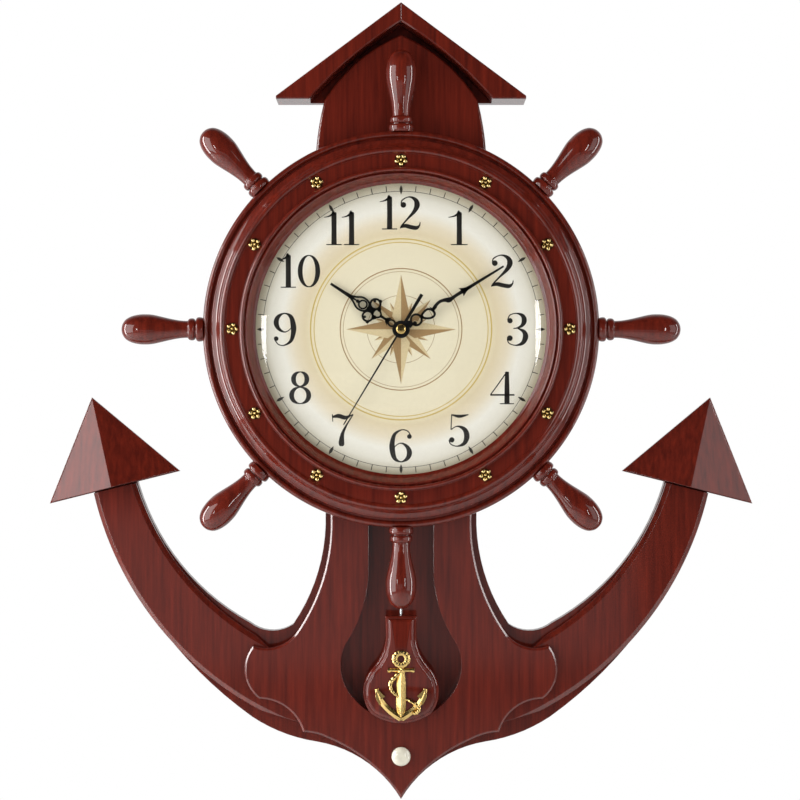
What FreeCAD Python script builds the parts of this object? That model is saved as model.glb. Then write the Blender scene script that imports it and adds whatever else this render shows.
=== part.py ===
# Anchor-shaped wall clock with a turned wheel round the dial and a pendulum at the crown.
# Millimetres. X is to the right, Z is up and the front faces -Y. The wall is the plane Y = 0.
# The origin is the centre of the round hole of the hanger plate. Depths are distances in front
# of the wall, so a depth d lies at Y = -d. Every piece is drawn about the axis of the dial.
import FreeCAD, Part
import math
import os
import re
import Sketcher

SIZES = {
    # places that the whole clock is set out from
    "dial_drop": 215.0,
    "half_span": 267.1,
    "crown_drop": 407.9,
    "overrun": 1.0,
    "seat_gap": 0.3,
    # boards
    "back_thick": 10.0,
    "arm_thick": 10.0,
    "plate_thick": 8.0,
    "arm_chamfer": 4.0,
    "plate_chamfer": 1.6,
    "panel_chamfer": 1.2,
    "head_half": 67.3,
    "head_rise": 198.0,
    "head_panel_rise": 254.5,
    "panel_inset": 1.5,
    "panel_foot": 115.0,
    "bay_half": 34.0,
    "bay_top": 35.0,
    "bay_foot": 55.0,
    "keyhole_neck": 28.0,
    "keyhole_half": 52.0,
    "keyhole_drop": 336.7,
    # roof
    "roof_depth": 38.0,
    "roof_rise": 280.7,
    "roof_inner_rise": 264.6,
    "roof_half": 107.3,
    "roof_end_rise": 200.6,
    "roof_inner_half": 78.8,
    "roof_chamfer": 1.0,
    # flukes
    "fluke_lip": 4.0,
    "fluke_lip_inset": 2.2,
    "fluke_peak": 34.0,
    "fluke_tip_side": 268.7,
    "fluke_tip_drop": 58.3,
    "fluke_outer_side": 305.3,
    "fluke_outer_drop": 150.4,
    "fluke_inner_side": 192.1,
    "fluke_inner_drop": 122.1,
    # wheel rim, as radii
    "rim_outer": 169.3,
    "rim_band_outer": 148.8,
    "rim_band_inner": 137.4,
    "rim_lip": 123.8,
    "rim_rebate": 133.0,
    "rim_back_depth": 28.0,
    "rim_lip_depth": 48.0,
    "rim_band_depth": 56.5,
    "rim_crest_depth": 61.5,
    # wheel handles
    "handle_count": 8.0,
    "handle_depth": 41.5,
    "handle_tip": 238.9,
    "handle_bulb": 13.0,
    "tenon_radius": 3.5,
    "tenon_start": 158.5,
    "mortise_gap": 0.1,
    # brass studs
    "stud_count": 12.0,
    "stud_circle": 143.1,
    "stud_radius": 5.8,
    "stud_crown": 2.6,
    "stud_height": 2.8,
    # dial and glass
    "dial_back_depth": 36.0,
    "dial_board_radius": 132.0,
    "dial_board_thick": 5.0,
    "dial_plate_radius": 131.0,
    "dial_plate_thick": 1.0,
    "spacer_inner": 125.0,
    "glass_radius": 132.6,
    "glass_thick": 2.0,
    "glass_flat": 122.0,
    "glass_rise": 12.5,
    # standoffs and wood screws
    "standoff_side": 50.0,
    "standoff_rise": 98.0,
    "standoff_radius": 4.0,
    "rim_screw_side": 56.0,
    "rim_screw_rise": 139.5,
    "rim_screw_end": 40.0,
    "screw_radius": 1.6,
    "screw_head": 3.5,
    "screw_head_thick": 2.2,
    "screw_gap": 0.1,
    # hanger
    "hanger_hole": 4.5,
    "hanger_slot": 2.5,
    "hanger_slot_rise": 11.0,
    "hanger_half": 15.0,
    "hanger_height": 56.0,
    "hanger_thick": 1.5,
    "hanger_screw_rise": 22.0,
    "hanger_head_room": 6.0,
    "hanger_head_depth": 8.0,
    "hanger_screw_end": 9.0,
    # porcelain knob
    "knob_drop": 367.0,
    "knob_radius": 8.2,
    "knob_foot": 5.6,
    "knob_height": 9.0,
    "stud_screw_radius": 1.6,
    "stud_screw_reach": 5.0,
    # movement case
    "case_half": 30.0,
    "case_top": 32.0,
    "case_foot": 50.0,
    "case_wall": 2.0,
    "case_depth": 18.0,
    "lid_thick": 2.0,
    "bush_radius": 4.0,
    "bush_bore": 2.8,
    "bush_gap": 0.2,
    "bush_reach": 2.6,
    "washer_radius": 7.5,
    "washer_thick": 0.6,
    "nut_across": 5.5,
    "nut_thick": 1.8,
    # shafts
    "tube_radius": 2.75,
    "tube_bore": 1.95,
    "minute_radius": 1.9,
    "minute_bore": 0.85,
    "second_radius": 0.8,
    "running_gap": 0.05,
    # motion work
    "fast_module": 0.5,
    "slow_module": 0.4,
    "cannon_teeth": 12.0,
    "idler_teeth": 36.0,
    "idler_pinion_teeth": 12.0,
    "hour_teeth": 48.0,
    "second_teeth": 30.0,
    "wheel_thick": 1.5,
    "wheel_gap": 2.0,
    "idler_radius": 1.0,
    "set_knob_radius": 5.0,
    "set_knob_thick": 4.5,
    # battery and circuit
    "battery_radius": 7.1,
    "battery_half": 25.0,
    "battery_rise": 22.0,
    "battery_tip_radius": 2.7,
    "battery_tip": 1.4,
    "contact_half": 5.5,
    "board_half": 26.0,
    "board_top": 13.0,
    "board_height": 9.0,
    "board_thick": 1.6,
    "coil_side": 18.0,
    "coil_drop": 17.5,
    "coil_radius": 4.4,
    "coil_height": 6.5,
    "pendulum_coil_radius": 6.0,
    "pendulum_coil_height": 7.0,
    "pendulum_coil_drop": 42.0,
    # hands
    "hour_hand_length": 71.5,
    "hour_hand_depth": 45.0,
    "hour_hand_turn": 302.9,
    "minute_hand_length": 103.0,
    "minute_hand_depth": 47.0,
    "minute_hand_turn": 58.5,
    "second_hand_length": 95.0,
    "second_hand_tail": 34.5,
    "second_hand_depth": 49.0,
    "second_hand_turn": 211.0,
    "second_hand_width": 1.1,
    "hand_thick": 0.8,
    "hub_radius": 5.9,
    "cap_radius": 4.2,
    "cap_height": 1.6,
    # pendulum
    "pivot_drop": 30.0,
    "pivot_radius": 1.0,
    "hanger_arm_depth": 22.0,
    "hanger_arm_thick": 2.0,
    "hanger_arm_half": 2.5,
    "hanger_hub": 3.5,
    "hanger_arm_length": 29.0,
    "hanger_slot_half": 7.0,
    "peg_drop": 57.0,
    "peg_radius": 1.2,
    "peg_length": 3.0,
    "magnet_radius": 3.0,
    "magnet_thick": 2.0,
    "rod_radius": 1.2,
    "rod_depth": 24.6,
    "eye_radius": 3.4,
    "eye_thick": 1.2,
    "block_top": 252.0,
    "block_height": 54.0,
    "block_half": 8.0,
    "block_back_depth": 23.0,
    "bob_back_depth": 29.5,
    "bob_thick": 9.0,
    "bob_top": 245.7,
    "bob_half": 32.4,
    "bob_height": 92.3,
    "bob_chamfer": 2.4,
    "emblem_thick": 4.0,
    "emblem_top": 268.0,
    "emblem_height": 58.8,
    "emblem_half": 22.2,
}

doc = FreeCAD.newDocument("anchor_wall_clock")
sheet = doc.addObject("Spreadsheet::Sheet", "Sizes")
for row, (alias, value) in enumerate(SIZES.items(), start=1):
    sheet.set(f"A{row}", alias)
    sheet.set(f"B{row}", str(value))
    sheet.setAlias(f"B{row}", alias)
doc.recompute()

WORD = re.compile(r"[a-z][a-z_]*")
PIECES = []


def bound(text):
    """A sum of named sizes as an expression that reads the sheet."""
    return WORD.sub(lambda found: f"Sizes.{found[0]}" if found[0] in SIZES else found[0], text)


def number(text):
    """The value of a sum of named sizes."""
    return float(sheet.evalExpression(bound(text)))


def piece(name):
    """An empty body on the axis of the dial, whose label names its file."""
    body = doc.addObject("PartDesign::Body", name)
    body.Label = name
    body.setExpression("Placement.Base.z", bound("-(dial_drop)"))
    PIECES.append(body)
    return body


def feature_piece(name, shape, turn="0"):
    """A piece with a worked-out shape, turned clockwise about the axis of the dial."""
    made = doc.addObject("Part::Feature", name)
    made.Label = name
    made.Shape = shape
    spin = FreeCAD.Rotation(FreeCAD.Vector(0, 1, 0), number(turn))
    made.Placement = FreeCAD.Placement(FreeCAD.Vector(0, 0, -number("dial_drop")), spin)
    PIECES.append(made)
    return made


def sketch(body, name, depth="0", plane="XZ_Plane"):
    """A sketch that stands at a depth in front of the wall."""
    made = body.newObject("Sketcher::SketchObject", name)
    origin_plane = next(item for item in body.Origin.OriginFeatures if item.Role == plane)
    made.AttachmentSupport = [(origin_plane, "")]
    made.MapMode = "FlatFace"
    made.setExpression("AttachmentOffset.Base.z", bound(depth))
    return made


def hold_point(drawn, curve, spot, across, up):
    """Ties one point of a sketch to its place, given as sums of named sizes."""
    for kind, axis, text in (("DistanceX", -2, across), ("DistanceY", -1, up)):
        value = number(text)
        if abs(value) < 1e-9:
            drawn.addConstraint(Sketcher.Constraint("PointOnObject", curve, spot, axis))
        else:
            tie = drawn.addConstraint(Sketcher.Constraint(kind, -1, 1, curve, spot, value))
            drawn.setExpression(f"Constraints[{tie}]", bound(text))


def place(across, up):
    return FreeCAD.Vector(number(across), number(up), 0)


def draw_outline(drawn, points):
    """A closed outline of lines, and of arcs through each point that is marked by."""
    corners = [n for n, point in enumerate(points) if len(point) == 2]
    ends = []
    for n, start in enumerate(corners):
        finish = corners[(n + 1) % len(corners)]
        middle = (start + 1) % len(points)
        first, last = place(*points[start]), place(*points[finish])
        if middle == finish:
            curve = drawn.addGeometry(Part.LineSegment(first, last), False)
            ends.append((curve, 1, 2))
            continue
        through = place(*points[middle][:2])
        clockwise = (through - first).cross(last - first).z < 0
        if clockwise:
            curve = drawn.addGeometry(Part.Arc(last, through, first), False)
            ends.append((curve, 2, 1))
        else:
            curve = drawn.addGeometry(Part.Arc(first, through, last), False)
            ends.append((curve, 1, 2))
        spot = drawn.addGeometry(Part.Point(through), True)
        drawn.addConstraint(Sketcher.Constraint("PointOnObject", spot, 1, curve))
        hold_point(drawn, spot, 1, *points[middle][:2])
    for n, (curve, start, finish) in enumerate(ends):
        after, after_start, after_finish = ends[(n + 1) % len(ends)]
        drawn.addConstraint(Sketcher.Constraint("Coincident", curve, finish, after, after_start))
        hold_point(drawn, curve, start, *points[corners[n]])


def draw_circle(drawn, radius, across="0", up="0"):
    """A circle with its radius and centre tied to named sizes."""
    curve = drawn.addGeometry(Part.Circle(place(across, up), FreeCAD.Vector(0, 0, 1), number(radius)))
    tie = drawn.addConstraint(Sketcher.Constraint("Radius", curve, number(radius)))
    drawn.setExpression(f"Constraints[{tie}]", bound(radius))
    hold_point(drawn, curve, 3, across, up)


def rectangle(half, top, foot, across="0"):
    """The corners of a rectangle between two heights."""
    left, right = f"{across} - ({half})", f"{across} + ({half})"
    return [(left, foot), (right, foot), (right, top), (left, top)]


def feature(body, kind, name, profile):
    made = body.newObject(f"PartDesign::{kind}", name)
    made.Profile = profile
    return made


def pad(body, name, profile, length):
    """Material from the sketch towards the viewer."""
    made = feature(body, "Pad", name, profile)
    made.setExpression("Length", bound(length))
    return made


def pocket(body, name, profile, length):
    """A cut from the sketch back towards the wall."""
    made = feature(body, "Pocket", name, profile)
    made.setExpression("Length", bound(length))
    return made


def pad_outline(body, name, points, depth, length):
    drawn = sketch(body, f"{name}_outline", depth)
    draw_outline(drawn, points)
    return pad(body, name, drawn, length)


def cut_outline(body, name, points, front, length):
    drawn = sketch(body, f"{name}_outline", f"{front} + overrun")
    draw_outline(drawn, points)
    return pocket(body, name, drawn, f"{length} + overrun")


def pad_discs(body, name, radius, depth, length, places=(("0", "0"),)):
    drawn = sketch(body, f"{name}_circles", depth)
    for across, up in places:
        draw_circle(drawn, radius, across, up)
    return pad(body, name, drawn, length)


def cut_discs(body, name, radius, front, length, places=(("0", "0"),)):
    drawn = sketch(body, f"{name}_circles", f"{front} + overrun")
    for across, up in places:
        draw_circle(drawn, radius, across, up)
    return pocket(body, name, drawn, f"{length} + overrun")


def polygon(radius, across="0", up="0", sides=8):
    """The corners of a regular polygon on a circle of the given radius."""
    corners = []
    for n in range(sides):
        turn = math.tau * (n + 0.5) / sides
        corners.append((f"{across} + ({radius}) * {math.cos(turn):.6f}",
                        f"{up} + ({radius}) * {math.sin(turn):.6f}"))
    return corners


def pad_flats(body, name, radius, depth, length, places=(("0", "0"),)):
    """Small round pieces that repeat are drawn in flats, to keep their faces few."""
    drawn = sketch(body, f"{name}_flats", depth)
    for across, up in places:
        draw_outline(drawn, polygon(radius, across, up))
    return pad(body, name, drawn, length)


def cut_flats(body, name, radius, front, length, places=(("0", "0"),)):
    drawn = sketch(body, f"{name}_flats", f"{front} + overrun")
    for across, up in places:
        draw_outline(drawn, polygon(radius, across, up))
    return pocket(body, name, drawn, f"{length} + overrun")


def turned(body, name, points):
    """A revolved piece: its points are radii and depths from the axis of the dial."""
    drawn = sketch(body, f"{name}_profile", "0", "XY_Plane")
    draw_outline(drawn, [(point[0], f"-({point[1]})") + tuple(point[2:]) for point in points])
    made = feature(body, "Revolution", name, drawn)
    made.ReferenceAxis = (drawn, ["V_Axis"])
    made.Angle = 360
    return made


def repeat_round(body, name, source, count):
    """Copies of a feature, evenly spaced round the axis of the dial."""
    made = body.newObject("PartDesign::PolarPattern", name)
    made.Originals = [source]
    made.Axis = (next(item for item in body.Origin.OriginFeatures if item.Role == "Y_Axis"), [""])
    made.Angle = 360
    made.setExpression("Occurrences", bound(count))
    body.Tip = made
    return made


def chamfer(body, name, size, wanted):
    """A chamfer on the edges of the last feature that the test picks."""
    doc.recompute()
    base = body.Tip
    edges = [f"Edge{n}" for n, edge in enumerate(base.Shape.Edges, start=1) if wanted(edge)]
    made = body.newObject("PartDesign::Chamfer", name)
    made.Base = (base, edges)
    made.setExpression("Size", bound(size))
    body.Tip = made
    return made


def lies_at(edge, depth):
    """True for an edge that lies whole in the plane at a depth."""
    box = edge.BoundBox
    return abs(box.YMin + number(depth)) < 1e-6 and abs(box.YMax + number(depth)) < 1e-6


def both_sides(half):
    """The left half of an outline, from the top down, with its mirror image after it."""
    mirrored = []
    for point in reversed(half):
        if abs(number(point[0])) > 1e-9:
            mirrored.append((f"-({point[0]})",) + tuple(point[1:]))
    return list(half) + mirrored


def follow(shares, across, up):
    """Points given as shares of a width and of a height, in that order."""
    return [(f"{across} * {row[0]}", f"{up} * {row[1]}") + tuple(row[2:]) for row in shares]


def mirror_points(points):
    return [(f"-({point[0]})",) + tuple(point[1:]) for point in points]


# outlines of the anchor, left side, as shares of half_span and crown_drop
HEAD_SIDE_SHARES = [
    (-0.271, 0.422, "by"), (-0.279, 0.360),
    (-0.286, 0.0, "by"), (-0.246, -0.389),
]
CROOK_SHARES = [
    (-0.2745, -0.523, "by"), (-0.352, -0.627),
    (-0.404, -0.640, "by"), (-0.492, -0.624),
    (-0.679, -0.530, "by"), (-0.857, -0.3295),
]
FLUKE_TAB_SHARES = [(-0.879, -0.2655), (-0.9805, -0.280)]
OUTER_ARM_SHARES = [
    (-1.0, -0.351),
    (-0.785, -0.632, "by"), (-0.486, -0.824),
    (-0.399, -0.8546, "by"), (-0.2744, -0.8774),
    (-0.1337, -0.9117, "by"), (0.0, -1.0),
]
ARM_BOARD_SHARES = [
    (-0.2153, -0.3874),
    (-0.2415, -0.5335, "by"), (-0.3295, -0.6509),
    (-0.4193, -0.6791), (-0.4725, -0.6482),
    (-0.6679, -0.5447, "by"), (-0.8615, -0.3239),
    (-0.9985, -0.3464),
    (-0.7948, -0.6237, "by"), (-0.4526, -0.8093),
    (-0.307, -0.836),
    (-0.1235, -0.8899, "by"), (0.0, -0.9733),
]
PLATE_SHARES = [
    (-0.228, -0.389),
    (-0.2576, -0.5335, "by"), (-0.3415, -0.6435),
    (-0.4006, -0.6698, "by"), (-0.478, -0.668),
    (-0.5054, -0.7144, "by"), (-0.458, -0.780),
    (-0.3725, -0.798, "by"), (-0.3167, -0.850),
    (-0.2733, -0.8539, "by"), (-0.2321, -0.8642),
    (-0.1235, -0.9046, "by"), (0.0, -0.9892),
]
# the keyhole, as shares of keyhole_half and keyhole_drop
KEYHOLE_SHARES = [
    (-0.683, -0.7336, "by"), (-0.923, -0.8049),
    (-1.0, -0.8592, "by"), (-0.773, -0.9454),
    (0.0, -1.0, "by"),
]
KEYHOLE_NECK_SHARE = 0.6237
# the inner line of the roof bulges upwards, as shares of its own half width and fall
ROOF_BOW_SHARE = (0.652, 0.583)


def roof_line():
    """The line where the roof sits on the boards, from the ridge to the left eaves."""
    fall = "(roof_inner_rise - head_rise)"
    across_share, fall_share = ROOF_BOW_SHARE
    return [
        ("0", "roof_inner_rise"),
        (f"-roof_inner_half * {across_share}", f"roof_inner_rise - {fall} * {fall_share}", "by"),
        ("-roof_inner_half", "head_rise"),
    ]


def make_back_board():
    body = piece("back_board")
    half = roof_line() + [("-head_half", "head_rise")]
    half += follow(HEAD_SIDE_SHARES + CROOK_SHARES + FLUKE_TAB_SHARES, "half_span", "crown_drop")
    half += follow(OUTER_ARM_SHARES, "half_span", "crown_drop")
    pad_outline(body, "board", both_sides(half), "0", "back_thick")
    bay = rectangle("bay_half", "bay_top", "-(bay_foot)")
    cut_outline(body, "movement_bay", bay, "back_thick", "back_thick + overrun")
    seat = rectangle("hanger_half", "dial_drop + hanger_height / 2", "dial_drop - hanger_height / 2")
    cut_outline(body, "hanger_seat", seat, "hanger_thick - overrun", "hanger_thick + overrun")
    slot = "dial_drop + hanger_slot_rise"
    room = rectangle("hanger_head_room", slot, "dial_drop")
    cut_outline(body, "head_room", room, "hanger_head_depth - overrun", "hanger_head_depth + overrun")
    ends = (("0", "dial_drop"), ("0", slot))
    for n, end in enumerate(ends):
        depth = "hanger_head_depth"
        cut_discs(body, f"head_room_end_{n}", "hanger_head_room", f"{depth} - overrun",
                  f"{depth} + overrun", (end,))
    cut_discs(body, "hanger_pilot", "screw_radius + screw_gap", "hanger_screw_end - overrun",
              "hanger_screw_end + overrun", hanger_screw_places())
    return body


def crook_edge(depth):
    """Picks the long curved edges of the arms in the front plane."""
    return lambda edge: (
        lies_at(edge, depth)
        and edge.Curve.TypeId == "Part::GeomCircle"
        and max(abs(edge.BoundBox.XMin), abs(edge.BoundBox.XMax)) > number("half_span / 2")
    )


def keyhole_outline():
    neck = f"-(keyhole_drop * {KEYHOLE_NECK_SHARE})"
    half = [("-(keyhole_neck)", "-(panel_foot) + overrun"), ("-(keyhole_neck)", neck)]
    half += follow(KEYHOLE_SHARES, "keyhole_half", "keyhole_drop")
    return both_sides(half)


def make_arm_board(side):
    body = piece(f"arm_board_{side}")
    points = [("0", "-(panel_foot)"), ("-(half_span * 0.21)", "-(panel_foot)")]
    points += follow(ARM_BOARD_SHARES, "half_span", "crown_drop")
    if side == "right":
        points = mirror_points(points)
    pad_outline(body, "board", points, "back_thick", "arm_thick")
    chamfer(body, "front_edge", "arm_chamfer", crook_edge("back_thick + arm_thick"))
    front = "back_thick + arm_thick"
    cut_outline(body, "keyhole", keyhole_outline(), front, "arm_thick + overrun")
    hand = "-" if side == "left" else ""
    bore_for_screws(body, [(f"{hand}rim_screw_side", "-rim_screw_rise")], front, "arm_thick")
    return body


def make_centre_plate():
    body = piece("centre_plate")
    half = [("-(half_span * 0.217)", "-(panel_foot)")]
    half += follow(PLATE_SHARES, "half_span", "crown_drop")
    pad_outline(body, "plate", both_sides(half), "back_thick + arm_thick", "plate_thick")
    front = "back_thick + arm_thick + plate_thick"
    chamfer(body, "front_edge", "plate_chamfer", lambda edge: (
        lies_at(edge, front) and edge.BoundBox.ZMin < -number("panel_foot") - 1e-6
    ))
    cut_outline(body, "keyhole", keyhole_outline(), front, "plate_thick + overrun")
    cut_discs(body, "knob_hole", "stud_screw_radius + screw_gap", front, "plate_thick + overrun",
              (("0", "-(knob_drop)"),))
    cut_flats(body, "rim_screw_holes", "screw_radius + screw_gap", front, "plate_thick + overrun",
              rim_screw_places(["-"]))
    return body


def make_shank_panel():
    body = piece("shank_panel")
    fall = "(head_panel_rise - head_rise)"
    half = [
        ("0", "head_panel_rise"),
        ("-(head_half - panel_inset) * 0.62", f"head_panel_rise - {fall} * 0.46", "by"),
        ("-(head_half - panel_inset)", "head_rise + seat_gap"),
        ("-(half_span * 0.2655)", "crown_drop * 0.422", "by"),
        ("-(half_span * 0.2734)", "crown_drop * 0.360"),
        ("-(half_span * 0.28)", "0", "by"),
        ("-(half_span * 0.247)", "-(panel_foot)"),
    ]
    depth = "arm_thick + plate_thick"
    pad_outline(body, "panel", both_sides(half), "back_thick", depth)
    front = f"back_thick + {depth}"
    chamfer(body, "front_edge", "panel_chamfer", lambda edge: (
        lies_at(edge, front) and edge.BoundBox.ZMax > -number("panel_foot") + 1e-6
    ))
    slot = [
        ("-(bay_half)", "bay_top"), ("-(bay_half)", "-(bay_foot)"),
        ("-(keyhole_neck)", "-(bay_foot)"), ("-(keyhole_neck)", "-(panel_foot) - overrun"),
    ]
    cut_outline(body, "pendulum_slot", both_sides(slot), front, f"{depth} + overrun")
    bore_for_screws(body, standoff_places() + rim_screw_places([""]), front, depth)
    return body


def make_roof(side):
    body = piece(f"roof_{side}")
    points = list(reversed(roof_line()))
    points += [
        ("0", "roof_rise"),
        ("-(roof_half)", "roof_end_rise"),
        ("-(roof_half)", "head_rise"),
    ]
    if side == "right":
        points = mirror_points(points)
    pad_outline(body, "slab", points, "0", "roof_depth")
    chamfer(body, "front_edge", "roof_chamfer", lambda edge: (
        lies_at(edge, "roof_depth") and edge.BoundBox.XLength > 1e-6
    ))
    return body


def make_fluke(side):
    """A three-sided point: a lip all round, a ridge from the tip and a flat foot below it."""
    hand = -1 if side == "left" else 1
    corners = [
        (number(f"fluke_{corner}_side") * hand, -number(f"fluke_{corner}_drop"))
        for corner in ("tip", "outer", "inner")
    ]
    centre = (sum(x for x, z in corners) / len(corners), sum(z for x, z in corners) / len(corners))
    back, lip = number("back_thick"), number("back_thick + fluke_lip")

    def at(point, depth):
        return FreeCAD.Vector(point[0], -depth, point[1])

    outer = Part.Face(Part.makePolygon([at(corner, back) for corner in corners + corners[:1]]))
    slab = outer.extrude(FreeCAD.Vector(0, back - lip, 0))
    drawn_in = []
    for x, z in corners:
        reach = math.hypot(x - centre[0], z - centre[1])
        share = 1 - number("fluke_lip_inset") / reach
        drawn_in.append((centre[0] + (x - centre[0]) * share, centre[1] + (z - centre[1]) * share))
    tip, low, high = [at(point, lip) for point in drawn_in]
    foot = [(low.x + high.x) / 2, (low.z + high.z) / 2]
    peak = at(foot, number("fluke_peak"))
    triangles = [(tip, low, high), (tip, low, peak), (tip, peak, high), (low, high, peak)]
    faces = [Part.Face(Part.makePolygon(list(three) + [three[0]])) for three in triangles]
    point = Part.Solid(Part.Shell(faces))
    if point.Volume < 0:
        point.reverse()
    return feature_piece(f"fluke_{side}", slab.fuse(point).removeSplitter())


def make_wheel_rim():
    body = piece("wheel_rim")
    back, lip, crest = "rim_back_depth", "rim_lip_depth", "rim_crest_depth"
    width = "(rim_outer - rim_band_outer)"
    rise = "(rim_band_depth - rim_back_depth)"
    turned(body, "ring", [
        ("rim_rebate", back),
        ("rim_outer", back),
        ("rim_outer", f"{back} + {rise} * 0.6"),
        (f"rim_outer - {width} * 0.16", f"{back} + {rise} * 0.7"),
        (f"rim_outer - {width} * 0.33", f"{back} + {rise} * 0.64"),
        (f"rim_outer - {width} * 0.48", f"{back} + {rise} * 0.8"),
        (f"rim_outer - {width} * 0.78", f"{back} + {rise} * 1.03"),
        (f"rim_outer - {width} * 0.95", f"{back} + {rise} * 1.07"),
        ("rim_band_outer", "rim_band_depth"),
        ("rim_band_inner", "rim_band_depth"),
        ("rim_band_inner - (rim_band_inner - rim_lip) * 0.12", crest),
        ("rim_band_inner - (rim_band_inner - rim_lip) * 0.4", crest),
        ("rim_band_inner - (rim_band_inner - rim_lip) * 0.75", f"{lip} + ({crest} - {lip}) * 0.7"),
        ("rim_lip", f"{lip} + ({crest} - {lip}) * 0.25"),
        ("rim_lip", lip),
        ("rim_rebate", lip),
    ])
    drawn = sketch(body, "mortise_profile", "handle_depth")
    draw_outline(drawn, [
        ("0", "tenon_start - seat_gap"), ("tenon_radius + mortise_gap", "tenon_start - seat_gap"),
        ("tenon_radius + mortise_gap", "rim_outer + overrun"), ("0", "rim_outer + overrun"),
    ])
    bore = feature(body, "Groove", "mortise", drawn)
    bore.ReferenceAxis = (drawn, ["V_Axis"])
    bore.Angle = 360
    repeat_round(body, "mortises", bore, "handle_count")
    cut_flats(body, "screw_holes", "screw_radius + screw_gap", "rim_screw_end - overrun",
              "rim_screw_end + overrun", rim_screw_places())
    return body


# the turned handle: places along it from the rim to the tip, and its radii, as shares
HANDLE_SHARES = [
    (0.0, 0.80), (0.08, 0.80), (0.095, 0.66), (0.165, 0.74), (0.212, 0.577),
    (0.47, 0.75), (0.68, 1.0), (0.87, 0.88), (1.0, 0.0),
]


def make_wheel_handles():
    body = piece("wheel_handles")
    drawn = sketch(body, "handle_profile", "handle_depth")
    start = "(rim_outer + seat_gap)"
    points = [("0", "tenon_start"), ("tenon_radius", "tenon_start"), ("tenon_radius", start)]
    for along_share, radius_share in HANDLE_SHARES:
        points.append((f"handle_bulb * {radius_share}",
                       f"{start} + (handle_tip - {start}) * {along_share}"))
    draw_outline(drawn, points)
    handle = feature(body, "Revolution", "handle", drawn)
    handle.ReferenceAxis = (drawn, ["V_Axis"])
    handle.Angle = 360
    repeat_round(body, "handles", handle, "handle_count")
    return body


def make_rim_studs():
    """Low eight-sided brass studs with a drawn-in top."""
    body = piece("rim_studs")
    sides = 8
    sketches = []
    for name, radius, depth in (
        ("foot", "stud_radius", "rim_band_depth"),
        ("crown", "stud_crown", "rim_band_depth + stud_height"),
    ):
        drawn = sketch(body, f"stud_{name}", depth)
        corners = []
        for n in range(sides):
            turn = math.tau * (n + 0.5) / sides
            corners.append((f"{radius} * {math.cos(turn):.6f}",
                            f"stud_circle + {radius} * {math.sin(turn):.6f}"))
        draw_outline(drawn, corners)
        sketches.append(drawn)
    stud = feature(body, "AdditiveLoft", "stud", sketches[0])
    stud.Sections = sketches[1:]
    repeat_round(body, "studs", stud, "stud_count")
    return body


DIAL_FRONT = "(dial_back_depth + dial_board_thick + dial_plate_thick)"
CASE_BACK = "(dial_back_depth - case_depth)"


def make_dial_board():
    body = piece("dial_board")
    front = "dial_back_depth + dial_board_thick"
    pad_discs(body, "board", "dial_board_radius", "dial_back_depth", "dial_board_thick")
    cut_discs(body, "bush_hole", "bush_radius + bush_gap", front, "dial_board_thick + overrun")
    cut_flats(body, "screw_holes", "screw_radius + screw_gap", f"{front} - overrun",
              "dial_board_thick + overrun", standoff_places())
    return body


def make_dial_plate():
    body = piece("dial_plate")
    pad_discs(body, "plate", "dial_plate_radius", "dial_back_depth + dial_board_thick",
              "dial_plate_thick")
    cut_discs(body, "bush_hole", "bush_radius + bush_gap", DIAL_FRONT, "dial_plate_thick + overrun")
    return body


def make_dial_spacer():
    body = piece("dial_spacer_ring")
    turned(body, "ring", [
        ("spacer_inner", DIAL_FRONT), ("dial_plate_radius", DIAL_FRONT),
        ("dial_plate_radius", "rim_lip_depth - glass_thick"),
        ("spacer_inner", "rim_lip_depth - glass_thick"),
    ])
    return body


def make_dial_glass():
    """A flat edge that sits under the lip of the rim, and a low dome inside it."""
    body = piece("dial_glass")
    back, front = "(rim_lip_depth - glass_thick)", "rim_lip_depth"
    bow = "glass_rise * 0.5"
    half_way = "glass_flat * 0.708"
    turned(body, "dome", [
        ("0", f"{back} + glass_rise"),
        (half_way, f"{back} + {bow}"),
        ("glass_flat", back),
        ("glass_radius", back),
        ("glass_radius", front),
        ("glass_flat", front),
        (half_way, f"{front} + {bow}"),
        ("0", f"{front} + glass_rise"),
    ])
    return body


def standoff_places():
    return [
        (f"{side}standoff_side", f"{rise}standoff_rise") for side in ("-", "") for rise in ("-", "")
    ]


def rim_screw_places(rises=("-", "")):
    return [
        (f"{side}rim_screw_side", f"{rise}rim_screw_rise") for side in ("-", "") for rise in rises
    ]


def bore_for_screws(body, places, front, length):
    """Counterbores for the screw heads at the back, and clear holes through the board."""
    back = "back_thick + screw_head_thick"
    cut_flats(body, "screw_heads", "screw_head + screw_gap", f"{back} - overrun",
              "screw_head_thick + overrun", places)
    cut_flats(body, "screw_holes", "screw_radius + screw_gap", front, f"{length} + overrun", places)


def hanger_screw_places():
    return [("0", "dial_drop - hanger_screw_rise"), ("0", "dial_drop + hanger_screw_rise")]


def make_dial_standoffs():
    body = piece("dial_standoffs")
    front = "rim_back_depth"
    length = "dial_back_depth - rim_back_depth"
    pad_flats(body, "sleeves", "standoff_radius", front, length, standoff_places())
    cut_flats(body, "bores", "screw_radius + screw_gap", "dial_back_depth", f"{length} + overrun",
              standoff_places())
    return body


def make_screws(name, places, back, end, head_thick):
    """Wood screws driven from behind: heads at the back, shanks towards the viewer."""
    body = piece(name)
    pad_flats(body, "heads", "screw_head", back, head_thick, places)
    pad_flats(body, "shanks", "screw_radius", f"{back} + {head_thick}",
              f"{end} - {back} - {head_thick}", places)
    return body


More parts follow.
